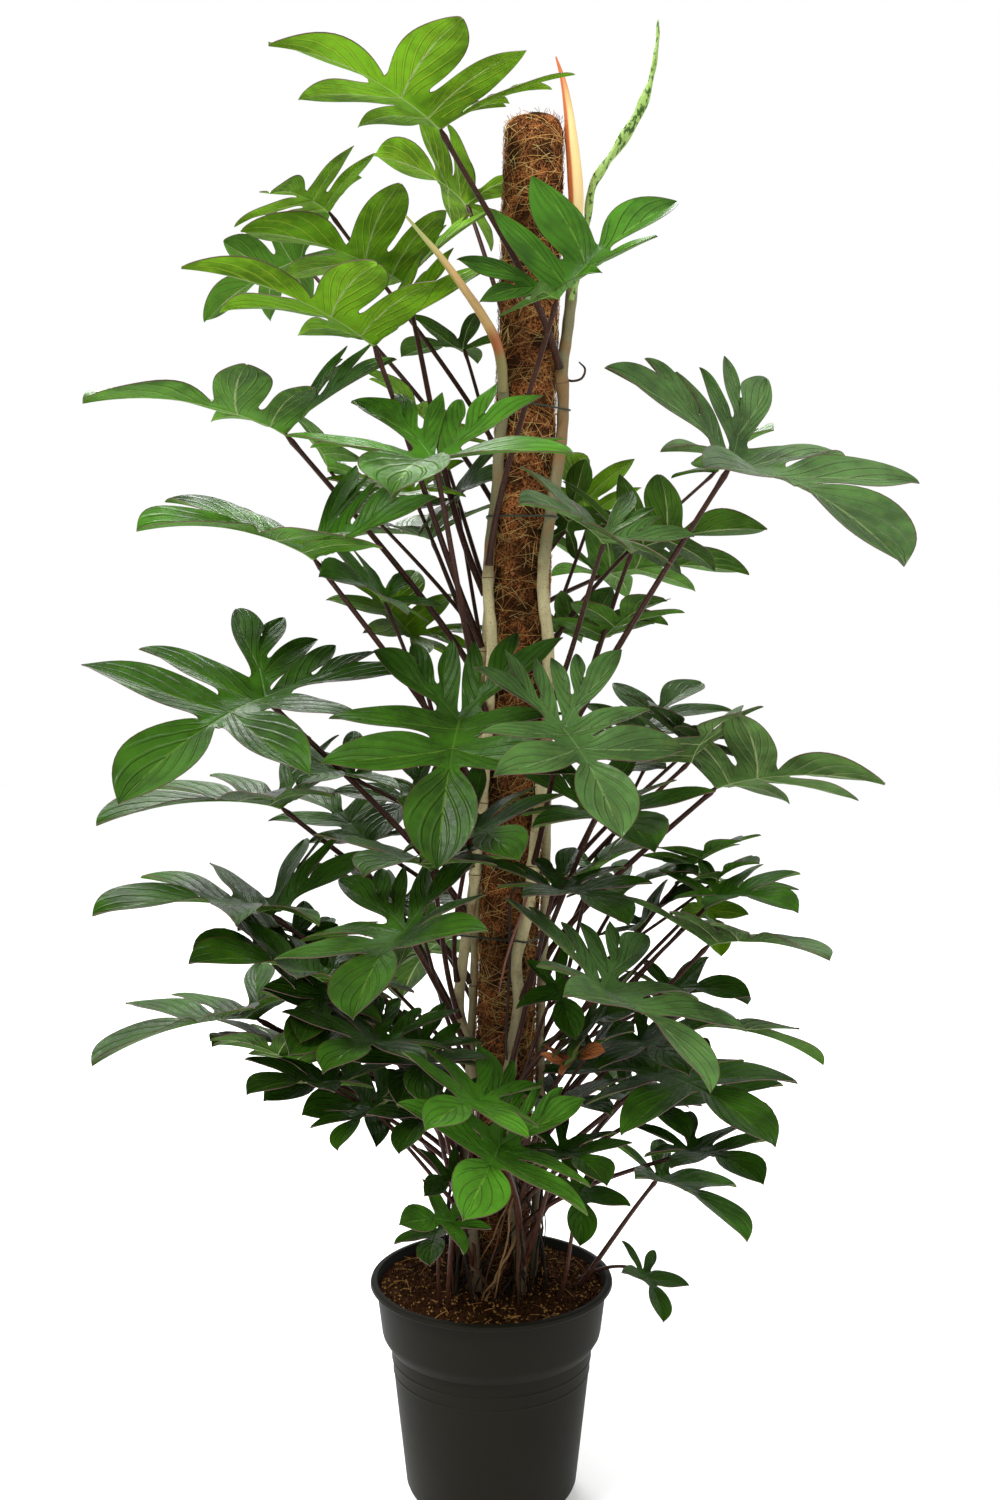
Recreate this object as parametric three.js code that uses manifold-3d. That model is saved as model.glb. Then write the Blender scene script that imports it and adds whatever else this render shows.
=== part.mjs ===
// A climbing philodendron with pedate (bird's-foot) leaves, grown up a coir pole in a plastic nursery pot.
// Millimetres, +Z up. The origin is the middle of the pot's underside, and the pole leans a little to +X.
import * as THREE from "three";
import { mergeVertices } from "three/addons/utils/BufferGeometryUtils.js";
import Module from "manifold-3d";

const wasm = await Module();
wasm.setup();

const vec = (x, y, z) => new THREE.Vector3(x, y, z);
const UP = vec(0, 0, 1);
const { degToRad, lerp, smoothstep } = THREE.MathUtils;

// Clearance between neighbours that touch, and the size below which slivers left by a cut are merged
const SEAT_GAP = 0.3;
const MERGE_WITHIN = 0.05;

// Pot: a foot ring, a straight tapered body, a wider collar and a rolled lip
const POT_HEIGHT = 242;
const RIM_RADIUS = 135;
const LIP_DEPTH = 13;
const LIP_ROUND = 3;
const LIP_FLARE = 1;
const COLLAR_TOP_RADIUS = 128.5;
const COLLAR_FOOT_RADIUS = 122;
const COLLAR_FOOT_Z = 172;
const COLLAR_SHOULDER = 15;
const COLLAR_EASE = 2;
const BODY_TOP_RADIUS = 112.5;
const BODY_FOOT_RADIUS = 94.5;
const BODY_FOOT_Z = 20;
const FOOT_RADIUS = 85;
const FOOT_ROUND = 4;
const FOOT_FLARE = { out: 0.7, up: 0.45 };
const POT_WALL = 2.4;
const FLOOR_RAISE = 7;
const FLOOR_PAD_RADIUS = 50;
const FOOT_RING_INNER = 73;
const DRAIN_HOLES = 6;
const DRAIN_RADIUS = 6;
const DRAIN_NOTCH = { width: 18, length: 30 };
const DRAIN_SIDES = 8;
const POT_FACETS = 24;

// Soil
const SOIL_EDGE_Z = 231;
const SOIL_CROWN = 6;
const SOIL_BUMP = 1.8;
const SOIL_SHOULDER = 0.7;
const SOIL_SEED = 3;
const SOIL_FOOT_CLEAR = 1;

// Pole: a wooden core in a wrapped coir sleeve, leaning about two degrees
const POLE_FOOT = vec(0.5, 0, 14);
const POLE_LEAN = 0.0315;
const POLE_TOP_Z = 1529;
const SLEEVE_RADIUS = 33;
const SLEEVE_BORE = 13;
const SLEEVE_ROUGH = 1.1;
const SLEEVE_STEP = 125;
const SLEEVE_SIDES = 18;
const SLEEVE_SEED = 7;
const CORE_SIDES = 12;
const BORE_OVERRUN = 20;
const SLEEVE_EDGE = { drop: 8, inset: 3 };
const CORE_RECESS = 6;

// Eye that the plant was plotted from: in front of the pot and level, over a picture 1000 wide and 1500
// high. A sighting is [column, row] on that picture. A depth is how far behind the pole's plane a point is.
const EYE = vec(9.5, -1465, 829);
const EYE_FOCAL = 1308;
const PICTURE_MIDDLE = [500, 750];

function sightLine([column, row]) {
  return vec(column - PICTURE_MIDDLE[0], EYE_FOCAL, PICTURE_MIDDLE[1] - row).normalize();
}

function sighted(sighting, depth) {
  const line = sightLine(sighting);
  return line.multiplyScalar((depth - EYE.y) / line.y).add(EYE);
}

// A repeatable draw from -1 to 1
function wobble(seed, k) {
  const s = Math.sin(seed * 12.9898 + k * 78.233) * 43758.5453;
  return 2 * (s - Math.floor(s)) - 1;
}

const poleAxis = (z) => vec(POLE_FOOT.x + POLE_LEAN * (z - POLE_FOOT.z), 0, z);

// Solids

function solid(geometry) {
  const bare = new THREE.BufferGeometry();
  bare.setAttribute("position", geometry.getAttribute("position"));
  bare.setIndex(geometry.index);
  const merged = mergeVertices(bare, 1e-4);
  return new wasm.Manifold(
    new wasm.Mesh({
      numProp: 3,
      vertProperties: merged.attributes.position.array,
      triVerts: new Uint32Array(merged.index.array),
    }),
  );
}

function geometryOf(shape) {
  const mesh = shape.simplify(MERGE_WITHIN).getMesh();
  const geometry = new THREE.BufferGeometry();
  geometry.setAttribute("position", new THREE.BufferAttribute(mesh.vertProperties, 3));
  geometry.setIndex(new THREE.BufferAttribute(mesh.triVerts, 1));
  geometry.computeVertexNormals();
  return geometry;
}

function indexed(points, faces) {
  const geometry = new THREE.BufferGeometry().setFromPoints(points);
  geometry.setIndex(faces.flat());
  return geometry;
}

// Largest body of a solid, without the scraps that a cut can leave
function largest(shape) {
  return shape.decompose().reduce((a, b) => (a.volume() >= b.volume() ? a : b));
}

// Sections carried along a line of points without twist
function carriedFrames(points, closed = false) {
  const n = points.length;
  const at = (i) => (closed ? points[(i + n) % n] : points[Math.min(n - 1, Math.max(0, i))]);
  let side = null;
  return points.map((point, i) => {
    const along = at(i + 1).clone().sub(at(i - 1)).normalize();
    if (!side) side = Math.abs(along.z) < 0.9 ? UP.clone() : vec(1, 0, 0);
    side = side.clone().addScaledVector(along, -side.dot(along)).normalize();
    return { point, side, other: along.clone().cross(side) };
  });
}

function sectionPoints({ point, side, other }, radius, sides) {
  return Array.from({ length: sides }, (_, k) => {
    const turn = (2 * Math.PI * k) / sides;
    return point
      .clone()
      .addScaledVector(side, radius * Math.cos(turn))
      .addScaledVector(other, radius * Math.sin(turn));
  });
}

function bandFaces(first, second, sides) {
  return Array.from({ length: sides }, (_, k) => {
    const next = (k + 1) % sides;
    return [
      [first + k, first + next, second + k],
      [first + next, second + next, second + k],
    ];
  }).flat();
}

// A closed tube along points, with a radius at each
function tube(points, radii, sides) {
  const frames = carriedFrames(points);
  const corners = frames.flatMap((frame, i) => sectionPoints(frame, radii[i], sides));
  const faces = [];
  for (let i = 0; i + 1 < frames.length; i++)
    faces.push(...bandFaces(i * sides, (i + 1) * sides, sides));
  const last = (frames.length - 1) * sides;
  for (let k = 1; k + 1 < sides; k++) {
    faces.push([0, k + 1, k]);
    faces.push([last, last + k, last + k + 1]);
  }
  return indexed(corners, faces);
}

// A closed ring of wire along a closed line
function wireRing(points, radius, sides) {
  const frames = carriedFrames(points, true);
  const corners = frames.flatMap((frame) => sectionPoints(frame, radius, sides));
  const faces = frames.flatMap((_, i) =>
    bandFaces(i * sides, ((i + 1) % frames.length) * sides, sides),
  );
  return indexed(corners, faces);
}

function lathe(profile, facets) {
  const points = profile.map(([r, z]) => new THREE.Vector2(r, z));
  return new THREE.LatheGeometry(points, facets).rotateX(Math.PI / 2);
}

// Pot and soil

function makePot() {
  const lipFoot = POT_HEIGHT - LIP_DEPTH;
  const shoulderZ = COLLAR_FOOT_Z + COLLAR_SHOULDER;
  const floorTop = FLOOR_RAISE + POT_WALL;
  const outer = [
    [0, 0],
    [FLOOR_PAD_RADIUS, 0],
    [FLOOR_PAD_RADIUS + FOOT_ROUND, FLOOR_RAISE],
    [FOOT_RING_INNER - FOOT_ROUND / 2, FLOOR_RAISE],
    [FOOT_RING_INNER, 0],
    [FOOT_RADIUS - FOOT_ROUND / 2, 0],
    [FOOT_RADIUS, FOOT_ROUND],
    [lerp(FOOT_RADIUS, BODY_FOOT_RADIUS, FOOT_FLARE.out), lerp(FOOT_ROUND, BODY_FOOT_Z, FOOT_FLARE.up)],
    [BODY_FOOT_RADIUS, BODY_FOOT_Z],
    [BODY_TOP_RADIUS, COLLAR_FOOT_Z],
    [COLLAR_FOOT_RADIUS - COLLAR_EASE, COLLAR_FOOT_Z + COLLAR_SHOULDER / 2],
    [COLLAR_FOOT_RADIUS, shoulderZ],
    [COLLAR_TOP_RADIUS, lipFoot],
    [RIM_RADIUS, lipFoot + LIP_ROUND],
    [RIM_RADIUS, POT_HEIGHT - LIP_ROUND],
    [RIM_RADIUS - LIP_ROUND, POT_HEIGHT],
  ];
  const inner = [
    [COLLAR_TOP_RADIUS - POT_WALL + LIP_FLARE, POT_HEIGHT],
    [COLLAR_FOOT_RADIUS - POT_WALL, shoulderZ],
    [BODY_TOP_RADIUS - POT_WALL, COLLAR_FOOT_Z],
    [BODY_FOOT_RADIUS - POT_WALL, BODY_FOOT_Z],
    [FOOT_RADIUS - POT_WALL, floorTop],
    [0, floorTop],
  ];
  let pot = solid(lathe([...outer, ...inner], POT_FACETS));
  const channel = (FLOOR_PAD_RADIUS + FOOT_RING_INNER) / 2;
  for (let k = 0; k < DRAIN_HOLES; k++) {
    const turn = (2 * Math.PI * (k + 0.5)) / DRAIN_HOLES;
    const hole = new THREE.CylinderGeometry(DRAIN_RADIUS, DRAIN_RADIUS, 4 * FLOOR_RAISE, DRAIN_SIDES)
      .rotateX(Math.PI / 2)
      .translate(channel * Math.cos(turn), channel * Math.sin(turn), FLOOR_RAISE);
    const notch = new THREE.BoxGeometry(DRAIN_NOTCH.length, DRAIN_NOTCH.width, FLOOR_RAISE)
      .translate(FOOT_RADIUS, 0, 0)
      .rotateZ(turn);
    pot = pot.subtract(solid(hole)).subtract(solid(notch));
  }
  return pot;
}

// Peat: a plug that fills the pot inside its wall, crumbly on top
function makeSoil() {
  const clear = POT_WALL + SEAT_GAP;
  const floor = FLOOR_RAISE + clear;
  const shoulderZ = COLLAR_FOOT_Z + COLLAR_SHOULDER;
  const upTheCollar = (SOIL_EDGE_Z - shoulderZ) / (POT_HEIGHT - shoulderZ);
  const edge = lerp(COLLAR_FOOT_RADIUS, COLLAR_TOP_RADIUS + LIP_FLARE, upTheCollar) - clear;
  const profile = [
    [0, floor],
    [FOOT_RADIUS - clear - SOIL_FOOT_CLEAR, floor],
    [BODY_FOOT_RADIUS - clear, BODY_FOOT_Z],
    [BODY_TOP_RADIUS - clear, COLLAR_FOOT_Z],
    [COLLAR_FOOT_RADIUS - clear, shoulderZ],
    [edge, SOIL_EDGE_Z],
    [edge * SOIL_SHOULDER, SOIL_EDGE_Z + SOIL_CROWN * SOIL_SHOULDER],
    [0, SOIL_EDGE_Z + SOIL_CROWN],
  ];
  const geometry = lathe(profile, POT_FACETS);
  const place = geometry.getAttribute("position");
  for (let i = 0; i < place.count; i++) {
    if (place.getZ(i) <= SOIL_EDGE_Z) continue;
    const where = Math.round(place.getX(i)) * 31 + Math.round(place.getY(i)) * 17;
    place.setZ(i, place.getZ(i) + SOIL_BUMP * wobble(SOIL_SEED, where));
  }
  return solid(geometry);
}

// Pole

function makeCore() {
  const radius = SLEEVE_BORE - SEAT_GAP;
  return solid(tube([POLE_FOOT, poleAxis(POLE_TOP_Z - CORE_RECESS)], [radius, radius], CORE_SIDES));
}

// Coir sleeve with low winding relief, open at both ends for the core
function makeSleeve() {
  const rows = Math.round((POLE_TOP_Z - POLE_FOOT.z) / SLEEVE_STEP);
  const heights = Array.from({ length: rows }, (_, i) => lerp(POLE_FOOT.z, POLE_TOP_Z, i / rows));
  const outside = [...heights, POLE_TOP_Z - SLEEVE_EDGE.drop, POLE_TOP_Z].map((z) => poleAxis(z));
  const radii = outside.map(() => SLEEVE_RADIUS);
  radii[radii.length - 1] -= SLEEVE_EDGE.inset;
  const geometry = tube(outside, radii, SLEEVE_SIDES);
  const place = geometry.getAttribute("position");
  for (let i = 0; i < place.count; i++) {
    const axis = poleAxis(place.getZ(i));
    const grow = 1 + (SLEEVE_ROUGH * wobble(SLEEVE_SEED, i)) / SLEEVE_RADIUS;
    place.setX(i, axis.x + (place.getX(i) - axis.x) * grow);
    place.setY(i, place.getY(i) * grow);
  }
  const bore = tube(
    [poleAxis(POLE_FOOT.z - BORE_OVERRUN), poleAxis(POLE_TOP_Z + BORE_OVERRUN)],
    [SLEEVE_BORE, SLEEVE_BORE],
    CORE_SIDES,
  );
  return solid(geometry).subtract(solid(bore));
}

// Climbing stems

// A sighted point laid against the pole: in front of it (face -1) or behind it (face 1)
function against(sighting, face, stand) {
  let depth = face * stand;
  for (let pass = 0; pass < 3; pass++) {
    const place = sighted(sighting, depth);
    const across = place.x - poleAxis(place.z).x;
    depth = face * Math.sqrt(Math.max(0, stand * stand - across * across));
  }
  return sighted(sighting, depth);
}

function aroundPole(z, azimuth, stand) {
  const turn = degToRad(azimuth);
  return poleAxis(z).add(vec(stand * Math.cos(turn), stand * Math.sin(turn), 0));
}

// How far a stem's surface stands off the pole's axis
const STEM_STAND = SLEEVE_RADIUS + SLEEVE_ROUGH + 3 * SEAT_GAP;
const RIGHT_RADIUS = 6.8;
const LEFT_RADIUS = 6.2;

// A stem's line up one side of the pole: it sways by some degrees and stands off by more or less
function climbing(heights, { azimuth, sway, off, give, seed }) {
  return heights.map((z, i) => {
    const stand = STEM_STAND + off + give * wobble(seed + 1, i);
    return aroundPole(z, azimuth + sway * wobble(seed, i), stand);
  });
}

// Each stem: its radius, its line from the soil up, and the heights of the nodes where leaves leave it
const STEMS = {
  right: {
    radius: RIGHT_RADIUS,
    line: [
      [521, 1290], [519, 1250], [513, 1200], [514, 1150], [508, 1100], [512, 1050], [519, 1000],
      [516, 962], [525, 925], [531, 885], [536, 835], [543, 780], [547, 735], [548, 690],
      [548, 640], [543, 595], [544, 560], [549, 525], [554, 495], [558, 465], [562, 430],
      [563, 400], [562, 372], [567, 335], [572, 290], [574, 250],
    ].map((sighting) => against(sighting, -1, STEM_STAND + RIGHT_RADIUS)),
  },
  left: {
    radius: LEFT_RADIUS,
    line: [
      [478, 1290], [474, 1245], [468, 1190], [466, 1140], [472, 1090], [469, 1050], [459, 1010],
      [463, 960], [469, 920], [474, 885], [478, 840], [483, 790], [487, 740], [490, 690],
      [492, 640], [488, 590], [490, 545], [497, 490], [499, 450], [503, 410], [503, 380],
    ].map((sighting) => against(sighting, -1, STEM_STAND + LEFT_RADIUS)),
  },
  left_back: {
    radius: 5,
    line: climbing([205, 330, 450, 570, 690, 800, 900, 985, 1020], {
      azimuth: 148, sway: 5, off: 8, give: 3, seed: 11,
    }),
  },
  right_back: {
    radius: 5.6,
    line: climbing([205, 320, 430, 540, 640, 750, 860, 930], {
      azimuth: 22, sway: 6, off: 7, give: 2, seed: 13,
    }),
  },
  back: {
    radius: 6,
    line: climbing([205, 320, 440, 560, 670, 790, 900, 1010, 1120, 1230, 1290], {
      azimuth: 97, sway: 9, off: 6.5, give: 2, seed: 15,
    }),
  },
};

// Wire ties hold the stems to the pole at these heights
const TIES = [
  { name: "tie_upper", z: 1208 },
  { name: "tie_middle", z: 1085 },
  { name: "tie_lower", z: 621 },
];
const TIE_WIRE = 1;
const TIE_CORNERS = 14;
const TIE_WIRE_SIDES = 4;

const NODE_SWELL = 1.16;
const NODE_HALF_HEIGHT = 5;
const NODE_APART = 3;
const STEM_SIDES = 6;
const STEM_STEP = 90;
const STEM_SAMPLES = 300;

for (const stem of Object.values(STEMS)) {
  stem.samples = new THREE.CatmullRomCurve3(stem.line, false, "centripetal").getSpacedPoints(STEM_SAMPLES);
  stem.nodes = [];
}

// The stem's middle at a height
function stemAt(stem, z) {
  return stem.samples.reduce((a, b) => (Math.abs(a.z - z) < Math.abs(b.z - z) ? a : b)).clone();
}

// A stem swells at each node, and runs straight past each tie
function stemTube(stem, grow) {
  const foot = stem.samples[0].z;
  const top = stem.samples.at(-1).z;
  const marks = [
    ...stem.nodes.map((z) => ({ z, swell: NODE_SWELL })),
    ...TIES.filter(({ z }) => z < top).map(({ z }) => ({ z, swell: 1 })),
  ].sort((a, b) => a.z - b.z);
  const stops = [{ z: foot, swell: 1 }];
  const add = (z, swell) => {
    if (z > stops.at(-1).z + NODE_APART && z < top - NODE_APART) stops.push({ z, swell });
  };
  const fill = (to) => {
    const last = stops.at(-1).z;
    const spans = Math.ceil((to - last) / STEM_STEP);
    for (let i = 1; i < spans; i++) add(lerp(last, to, i / spans), 1);
  };
  for (const { z, swell } of marks) {
    fill(z);
    if (swell > 1) add(z - NODE_HALF_HEIGHT, 1);
    add(z, swell);
    if (swell > 1) add(z + NODE_HALF_HEIGHT, 1);
  }
  fill(top);
  stops.push({ z: top, swell: 1 });
  const points = stops.map(({ z }) => stemAt(stem, z));
  points[0].z -= grow;
  const radii = stops.map(({ swell }) => stem.radius * swell + grow);
  return tube(points, radii, STEM_SIDES);
}

// Leaves

// Half of each kind of blade, from the lobe at the back to the one beside the terminal lobe. A lobe's vein
// runs from a foot on a rib to a tip, in shares of the blade's length: [along the midrib, out to the side].
// half is the lobe's half width, and web is how far the blade joins it to the next lobe.
const LOBES = {
  full: [
    { foot: [-0.1, 0.1], tip: [-0.5, 0.07], half: 0.075, web: 0.07 },
    { foot: [-0.15, 0.19], tip: [-0.52, 0.33], half: 0.07, web: 0.2 },
    { foot: [-0.1, 0.13], tip: [-0.4, 0.57], half: 0.095, web: 0.07 },
    { foot: [0.08, 0], tip: [0.12, 0.62], half: 0.075, web: 0.13 },
    { foot: [0.25, 0], tip: [0.46, 0.66], half: 0.115, web: 0.1 },
  ],
  broad: [
    { foot: [-0.1, 0.12], tip: [-0.5, 0.14], half: 0.085, web: 0.12 },
    { foot: [-0.09, 0.12], tip: [-0.38, 0.54], half: 0.1, web: 0.08 },
    { foot: [0.08, 0], tip: [0.13, 0.63], half: 0.08, web: 0.13 },
    { foot: [0.25, 0], tip: [0.48, 0.63], half: 0.11, web: 0.1 },
  ],
  plain: [
    { foot: [-0.09, 0.11], tip: [-0.44, 0.36], half: 0.105, web: 0.1 },
    { foot: [0.07, 0], tip: [0.12, 0.6], half: 0.085, web: 0.13 },
    { foot: [0.24, 0], tip: [0.5, 0.6], half: 0.11, web: 0.1 },
  ],
  young: [
    { foot: [-0.04, 0.06], tip: [-0.38, 0.36], half: 0.1, web: 0.1 },
    { foot: [0.12, 0], tip: [0.36, 0.56], half: 0.115, web: 0.12 },
  ],
};
const TERMINAL = { foot: [0.4, 0], tip: [1, 0], half: 0.2 };
const HUB = [0, 0];
const SINUS = [-0.05, 0];
const TIP_TURN = 0.09;
const TIP_REACH = 0.09;
const HALF_SPREAD = 0.12;
const VEIN_BOW = 0.03;
const VEIN_LAG = 0.9;

// Where along a lobe its margin has points, and how the margin swells between its notch and its tip
const SIDE_STOPS = [0.55];
const TERMINAL_STOPS = [0.36, 0.7];
const NEAR_SHARE = 0.42;
const SIDE_MARGIN = { near: 1.45, share: 0.8, far: 1.25 };
const TERMINAL_MARGIN = { near: 1.5, share: 0.9, far: 1.25 };

// Thickness of the blade at its edge, veins, ribs and hub, and how far its edges rise above its veins
const EDGE_THICK = 0.8;
const VEIN_THICK = 1.3;
const RIB_THICK = 2.4;
const HUB_THICK = 3;
const EDGE_LIFT = 0.22;

const plus = (p, q, share = 1) => [p[0] + q[0] * share, p[1] + q[1] * share];
const span = (p, q) => [q[0] - p[0], q[1] - p[1]];
const unit = (p) => plus([0, 0], p, 1 / Math.hypot(...p));

// A lobe on one side (1 left, -1 right, 0 terminal), with its tip drawn a little longer, shorter or turned
function variedLobe({ foot, tip, half, web }, side, seed, k) {
  const turn = TIP_TURN * wobble(seed, k);
  const reach = 1 + TIP_REACH * wobble(seed, k + 40);
  const [x, y] = span(foot, tip);
  const turned = [x * Math.cos(turn) - y * Math.sin(turn), x * Math.sin(turn) + y * Math.cos(turn)];
  const full = plus(foot, side ? turned : [x, 0], side ? reach : 1);
  const flip = side || 1;
  const made = {
    foot: [foot[0], foot[1] * flip],
    tip: [full[0], full[1] * flip],
    half: half * (1 + HALF_SPREAD * wobble(seed, k + 80)),
    web,
    side,
  };
  made.along = unit(span(made.foot, made.tip));
  made.reach = Math.hypot(...span(made.foot, made.tip));
  return made;
}

function lobesOf(kind, seed) {
  const half = LOBES[kind];
  const right = half.map((lobe, k) => variedLobe(lobe, -1, seed, k));
  const left = half.map((lobe, k) => variedLobe(lobe, 1, seed, k + 10)).reverse();
  return [...right, variedLobe(TERMINAL, 0, seed, 20), ...left];
}

// The bottom of the sinus between two neighbouring lobes
function notchBetween(a, b) {
  const middle = plus(plus([0, 0], a.foot, 0.5), b.foot, 0.5);
  return plus(middle, unit(plus(a.along, b.along)), a.side === -1 ? a.web : b.web);
}

// A point of the lobe's margin: hand 1 is the margin to the left of its vein, -1 to the right
function marginPoint(lobe, hand, start, t) {
  const normal = [-lobe.along[1] * hand, lobe.along[0] * hand];
  const swell = lobe.side ? SIDE_MARGIN : TERMINAL_MARGIN;
  const near = plus(plus(lobe.foot, lobe.along, NEAR_SHARE * lobe.reach), normal, lobe.half * swell.near);
  const far = plus(plus(lobe.foot, lobe.along, swell.share * lobe.reach), normal, lobe.half * swell.far);
  const curve = new THREE.CubicBezierCurve(
    ...[start, near, far, lobe.tip].map(([x, y]) => new THREE.Vector2(x, y)),
  );
  return curve.getPoint(t).toArray();
}

function veinPoint(lobe, t) {
  const bow = [lobe.along[1] * lobe.side, -lobe.along[0] * lobe.side];
  return plus(plus(lobe.foot, lobe.along, lobe.reach * t), bow, VEIN_BOW * 4 * t * (1 - t));
}

// Walks round the blade: margin points and the rib points they spring from, in the order that closes the
// faces
function planOf(kind, seed) {
  const lobes = lobesOf(kind, seed);
  const backFeet = (side) =>
    lobes.filter((lobe) => lobe.side === side && lobe.foot[0] < 0).map((lobe) => lobe.foot);
  const steps = [];
  const rib = (point, thick) => steps.push({ rib: true, point, thick, lift: 0 });
  const margin = (point, lift) => steps.push({ rib: false, point, thick: EDGE_THICK, lift });
  rib(HUB, HUB_THICK);
  margin(SINUS, 0);
  for (const foot of backFeet(-1).slice(1).reverse()) rib(foot, RIB_THICK);
  let start = SINUS;
  lobes.forEach((lobe, k) => {
    const next = lobes[k + 1];
    const end = next ? notchBetween(lobe, next) : SINUS;
    const stops = lobe.side ? SIDE_STOPS : TERMINAL_STOPS;
    const crease = EDGE_LIFT * lobe.half;
    const spine = [
      [lobe.foot, RIB_THICK],
      ...stops.map((t) => [veinPoint(lobe, VEIN_LAG * t), VEIN_THICK]),
    ];
    rib(...spine[0]);
    stops.forEach((t, i) => {
      margin(marginPoint(lobe, -1, start, t), crease);
      rib(...spine[i + 1]);
    });
    margin(lobe.tip, 0);
    for (let i = stops.length - 1; i >= 0; i--) {
      margin(marginPoint(lobe, 1, end, stops[i]), crease);
      rib(...spine[i]);
    }
    margin(end, 0);
    if (next && Math.sign(lobe.foot[0]) !== Math.sign(next.foot[0])) rib(HUB, HUB_THICK);
    start = end;
  });
  for (const foot of backFeet(1).slice(0, -1).reverse()) rib(foot, RIB_THICK);
  rib(HUB, HUB_THICK);
  return steps;
}

// Bends a flat plan point along its own ray from the hub: it rises at first and then droops
function bent([x, y], lift, thick, length, form) {
  const reach = Math.max(1e-6, Math.hypot(x, y)) * length;
  const turn = Math.atan2(y, x);
  const sideways = (1 - Math.cos(2 * turn)) / 2;
  const backwards = Math.max(0, -Math.cos(turn));
  const rise = form.cup * sideways + form.back * backwards;
  const curl = form.droop / length;
  const fall = rise - curl * reach;
  const out = (Math.sin(rise) - Math.sin(fall)) / curl;
  const high = (Math.cos(fall) - Math.cos(rise)) / curl;
  const normal = vec(-Math.sin(fall) * Math.cos(turn), -Math.sin(fall) * Math.sin(turn), Math.cos(fall));
  const middle = vec(out * Math.cos(turn), out * Math.sin(turn), high);
  return middle.addScaledVector(normal, lift * length - thick);
}

// How far an unrolled blade's upper face turns out from the pole
const FACE_OUT = 0.35;

// The blade's own axes: forward to the tip as it is seen, and up from the upper face
function bladeAxes(leaf, joint) {
  const line = sightLine(leaf.tip);
  const eyeToJoint = joint.clone().sub(EYE);
  const along = eyeToJoint.dot(line);
  const spare = leaf.length ** 2 - (eyeToJoint.lengthSq() - along ** 2);
  const tip = line.multiplyScalar(along + leaf.face * Math.sqrt(Math.max(0, spare))).add(EYE);
  const forward = tip.sub(joint).normalize();
  const outward = joint.clone().sub(poleAxis(joint.z)).setZ(0).normalize();
  const upper = UP.clone().addScaledVector(outward, FACE_OUT);
  upper.addScaledVector(forward, -upper.dot(forward)).normalize();
  upper.applyAxisAngle(forward, degToRad(leaf.roll));
  return { forward, upper, left: upper.clone().cross(forward) };
}

function bladeFaces(steps) {
  const faces = [];
  let ribAt = 0;
  let marginAt = 1;
  for (let i = 2; i < steps.length; i++) {
    faces.push(steps[i].rib ? [ribAt, marginAt, i] : [marginAt, i, ribAt]);
    if (steps[i].rib) ribAt = i;
    else marginAt = i;
  }
  return faces;
}

// Rise of the lobes at the sides, and droop from hub to tip, in radians
const CUP = 0.35;
const DROOP = 0.6;

function makeBlade(leaf, joint, axes) {
  const form = { cup: leaf.cup ?? CUP, back: leaf.back, droop: DROOP };
  const steps = planOf(leaf.kind, leaf.seed);
  // The chord from joint to tip stays on the forward axis
  const chord = bent([1, 0], 0, 0, leaf.length, form);
  const tilt = Math.atan2(chord.z, chord.x);
  const basis = new THREE.Matrix4()
    .makeBasis(axes.forward, axes.left, axes.upper)
    .multiply(new THREE.Matrix4().makeRotationY(tilt))
    .setPosition(joint);
  const place = (step, thick) =>
    bent(step.point, step.lift, thick, leaf.length, form).applyMatrix4(basis);
  const n = steps.length;
  const corners = [...steps.map((s) => place(s, 0)), ...steps.map((s) => place(s, s.thick))];
  const top = bladeFaces(steps);
  const under = top.map(([a, b, c]) => [a + n, c + n, b + n]);
  const ring = steps.map((s, i) => (s.rib ? -1 : i)).filter((i) => i >= 0);
  const edge = ring.slice(0, -1).flatMap((a, k) => {
    const b = ring[k + 1];
    return [
      [a + n, b + n, b],
      [a + n, b, a],
    ];
  });
  return indexed(corners, [...top, ...under, ...edge]);
}

const PETIOLE_SIDES = 4;
const PETIOLE_STEPS = 3;
const PETIOLE_RADII = { small: 2.2, large: 4, shortBlade: 60, longBlade: 200 };
const PETIOLE_TAPER = { foot: 1.12, top: 0.72, end: 1 };
const STALK_ROOTED = 25;

// Where a stalk's line is drawn to: how far it first climbs and leans out, in shares of its reach, and how
// late it turns toward the blade. clear and arch are used where a leaf's row gives none.
const STALK = { climb: 0.26, lean: 0.1, late: 0.7, clear: 18, arch: 6, neck: 0.965 };

// The stalk's line: from the middle of its stem, up and out, to just under the blade's hub
function petioleCurve(leaf, joint, axes) {
  const stem = STEMS[leaf.stem];
  const foot = stem ? stemAt(stem, leaf.from) : vec(...leaf.from, SOIL_EDGE_Z - STALK_ROOTED);
  const run = joint.clone().sub(foot);
  const reach = run.length();
  const away = foot.clone().sub(poleAxis(foot.z)).setZ(0).normalize();
  const start = foot
    .clone()
    .addScaledVector(UP, STALK.climb * reach)
    .addScaledVector(run.clone().setZ(0).normalize(), STALK.lean * reach)
    .addScaledVector(away.applyAxisAngle(UP, degToRad(leaf.swing ?? 0)), leaf.clear ?? STALK.clear);
  const end = foot.clone().addScaledVector(run, STALK.late).addScaledVector(UP, leaf.arch ?? STALK.arch);
  const seat = joint.clone().addScaledVector(axes.upper, -HUB_THICK / 2);
  return new THREE.CubicBezierCurve3(foot, start, end, seat);
}

function petioleLine(leaf, joint, axes) {
  const curve = petioleCurve(leaf, joint, axes);
  const shares = [...Array(PETIOLE_STEPS).keys()].map((i) => i / PETIOLE_STEPS);
  return [...shares, STALK.neck, 1].map((t) => curve.getPoint(t));
}

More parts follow.
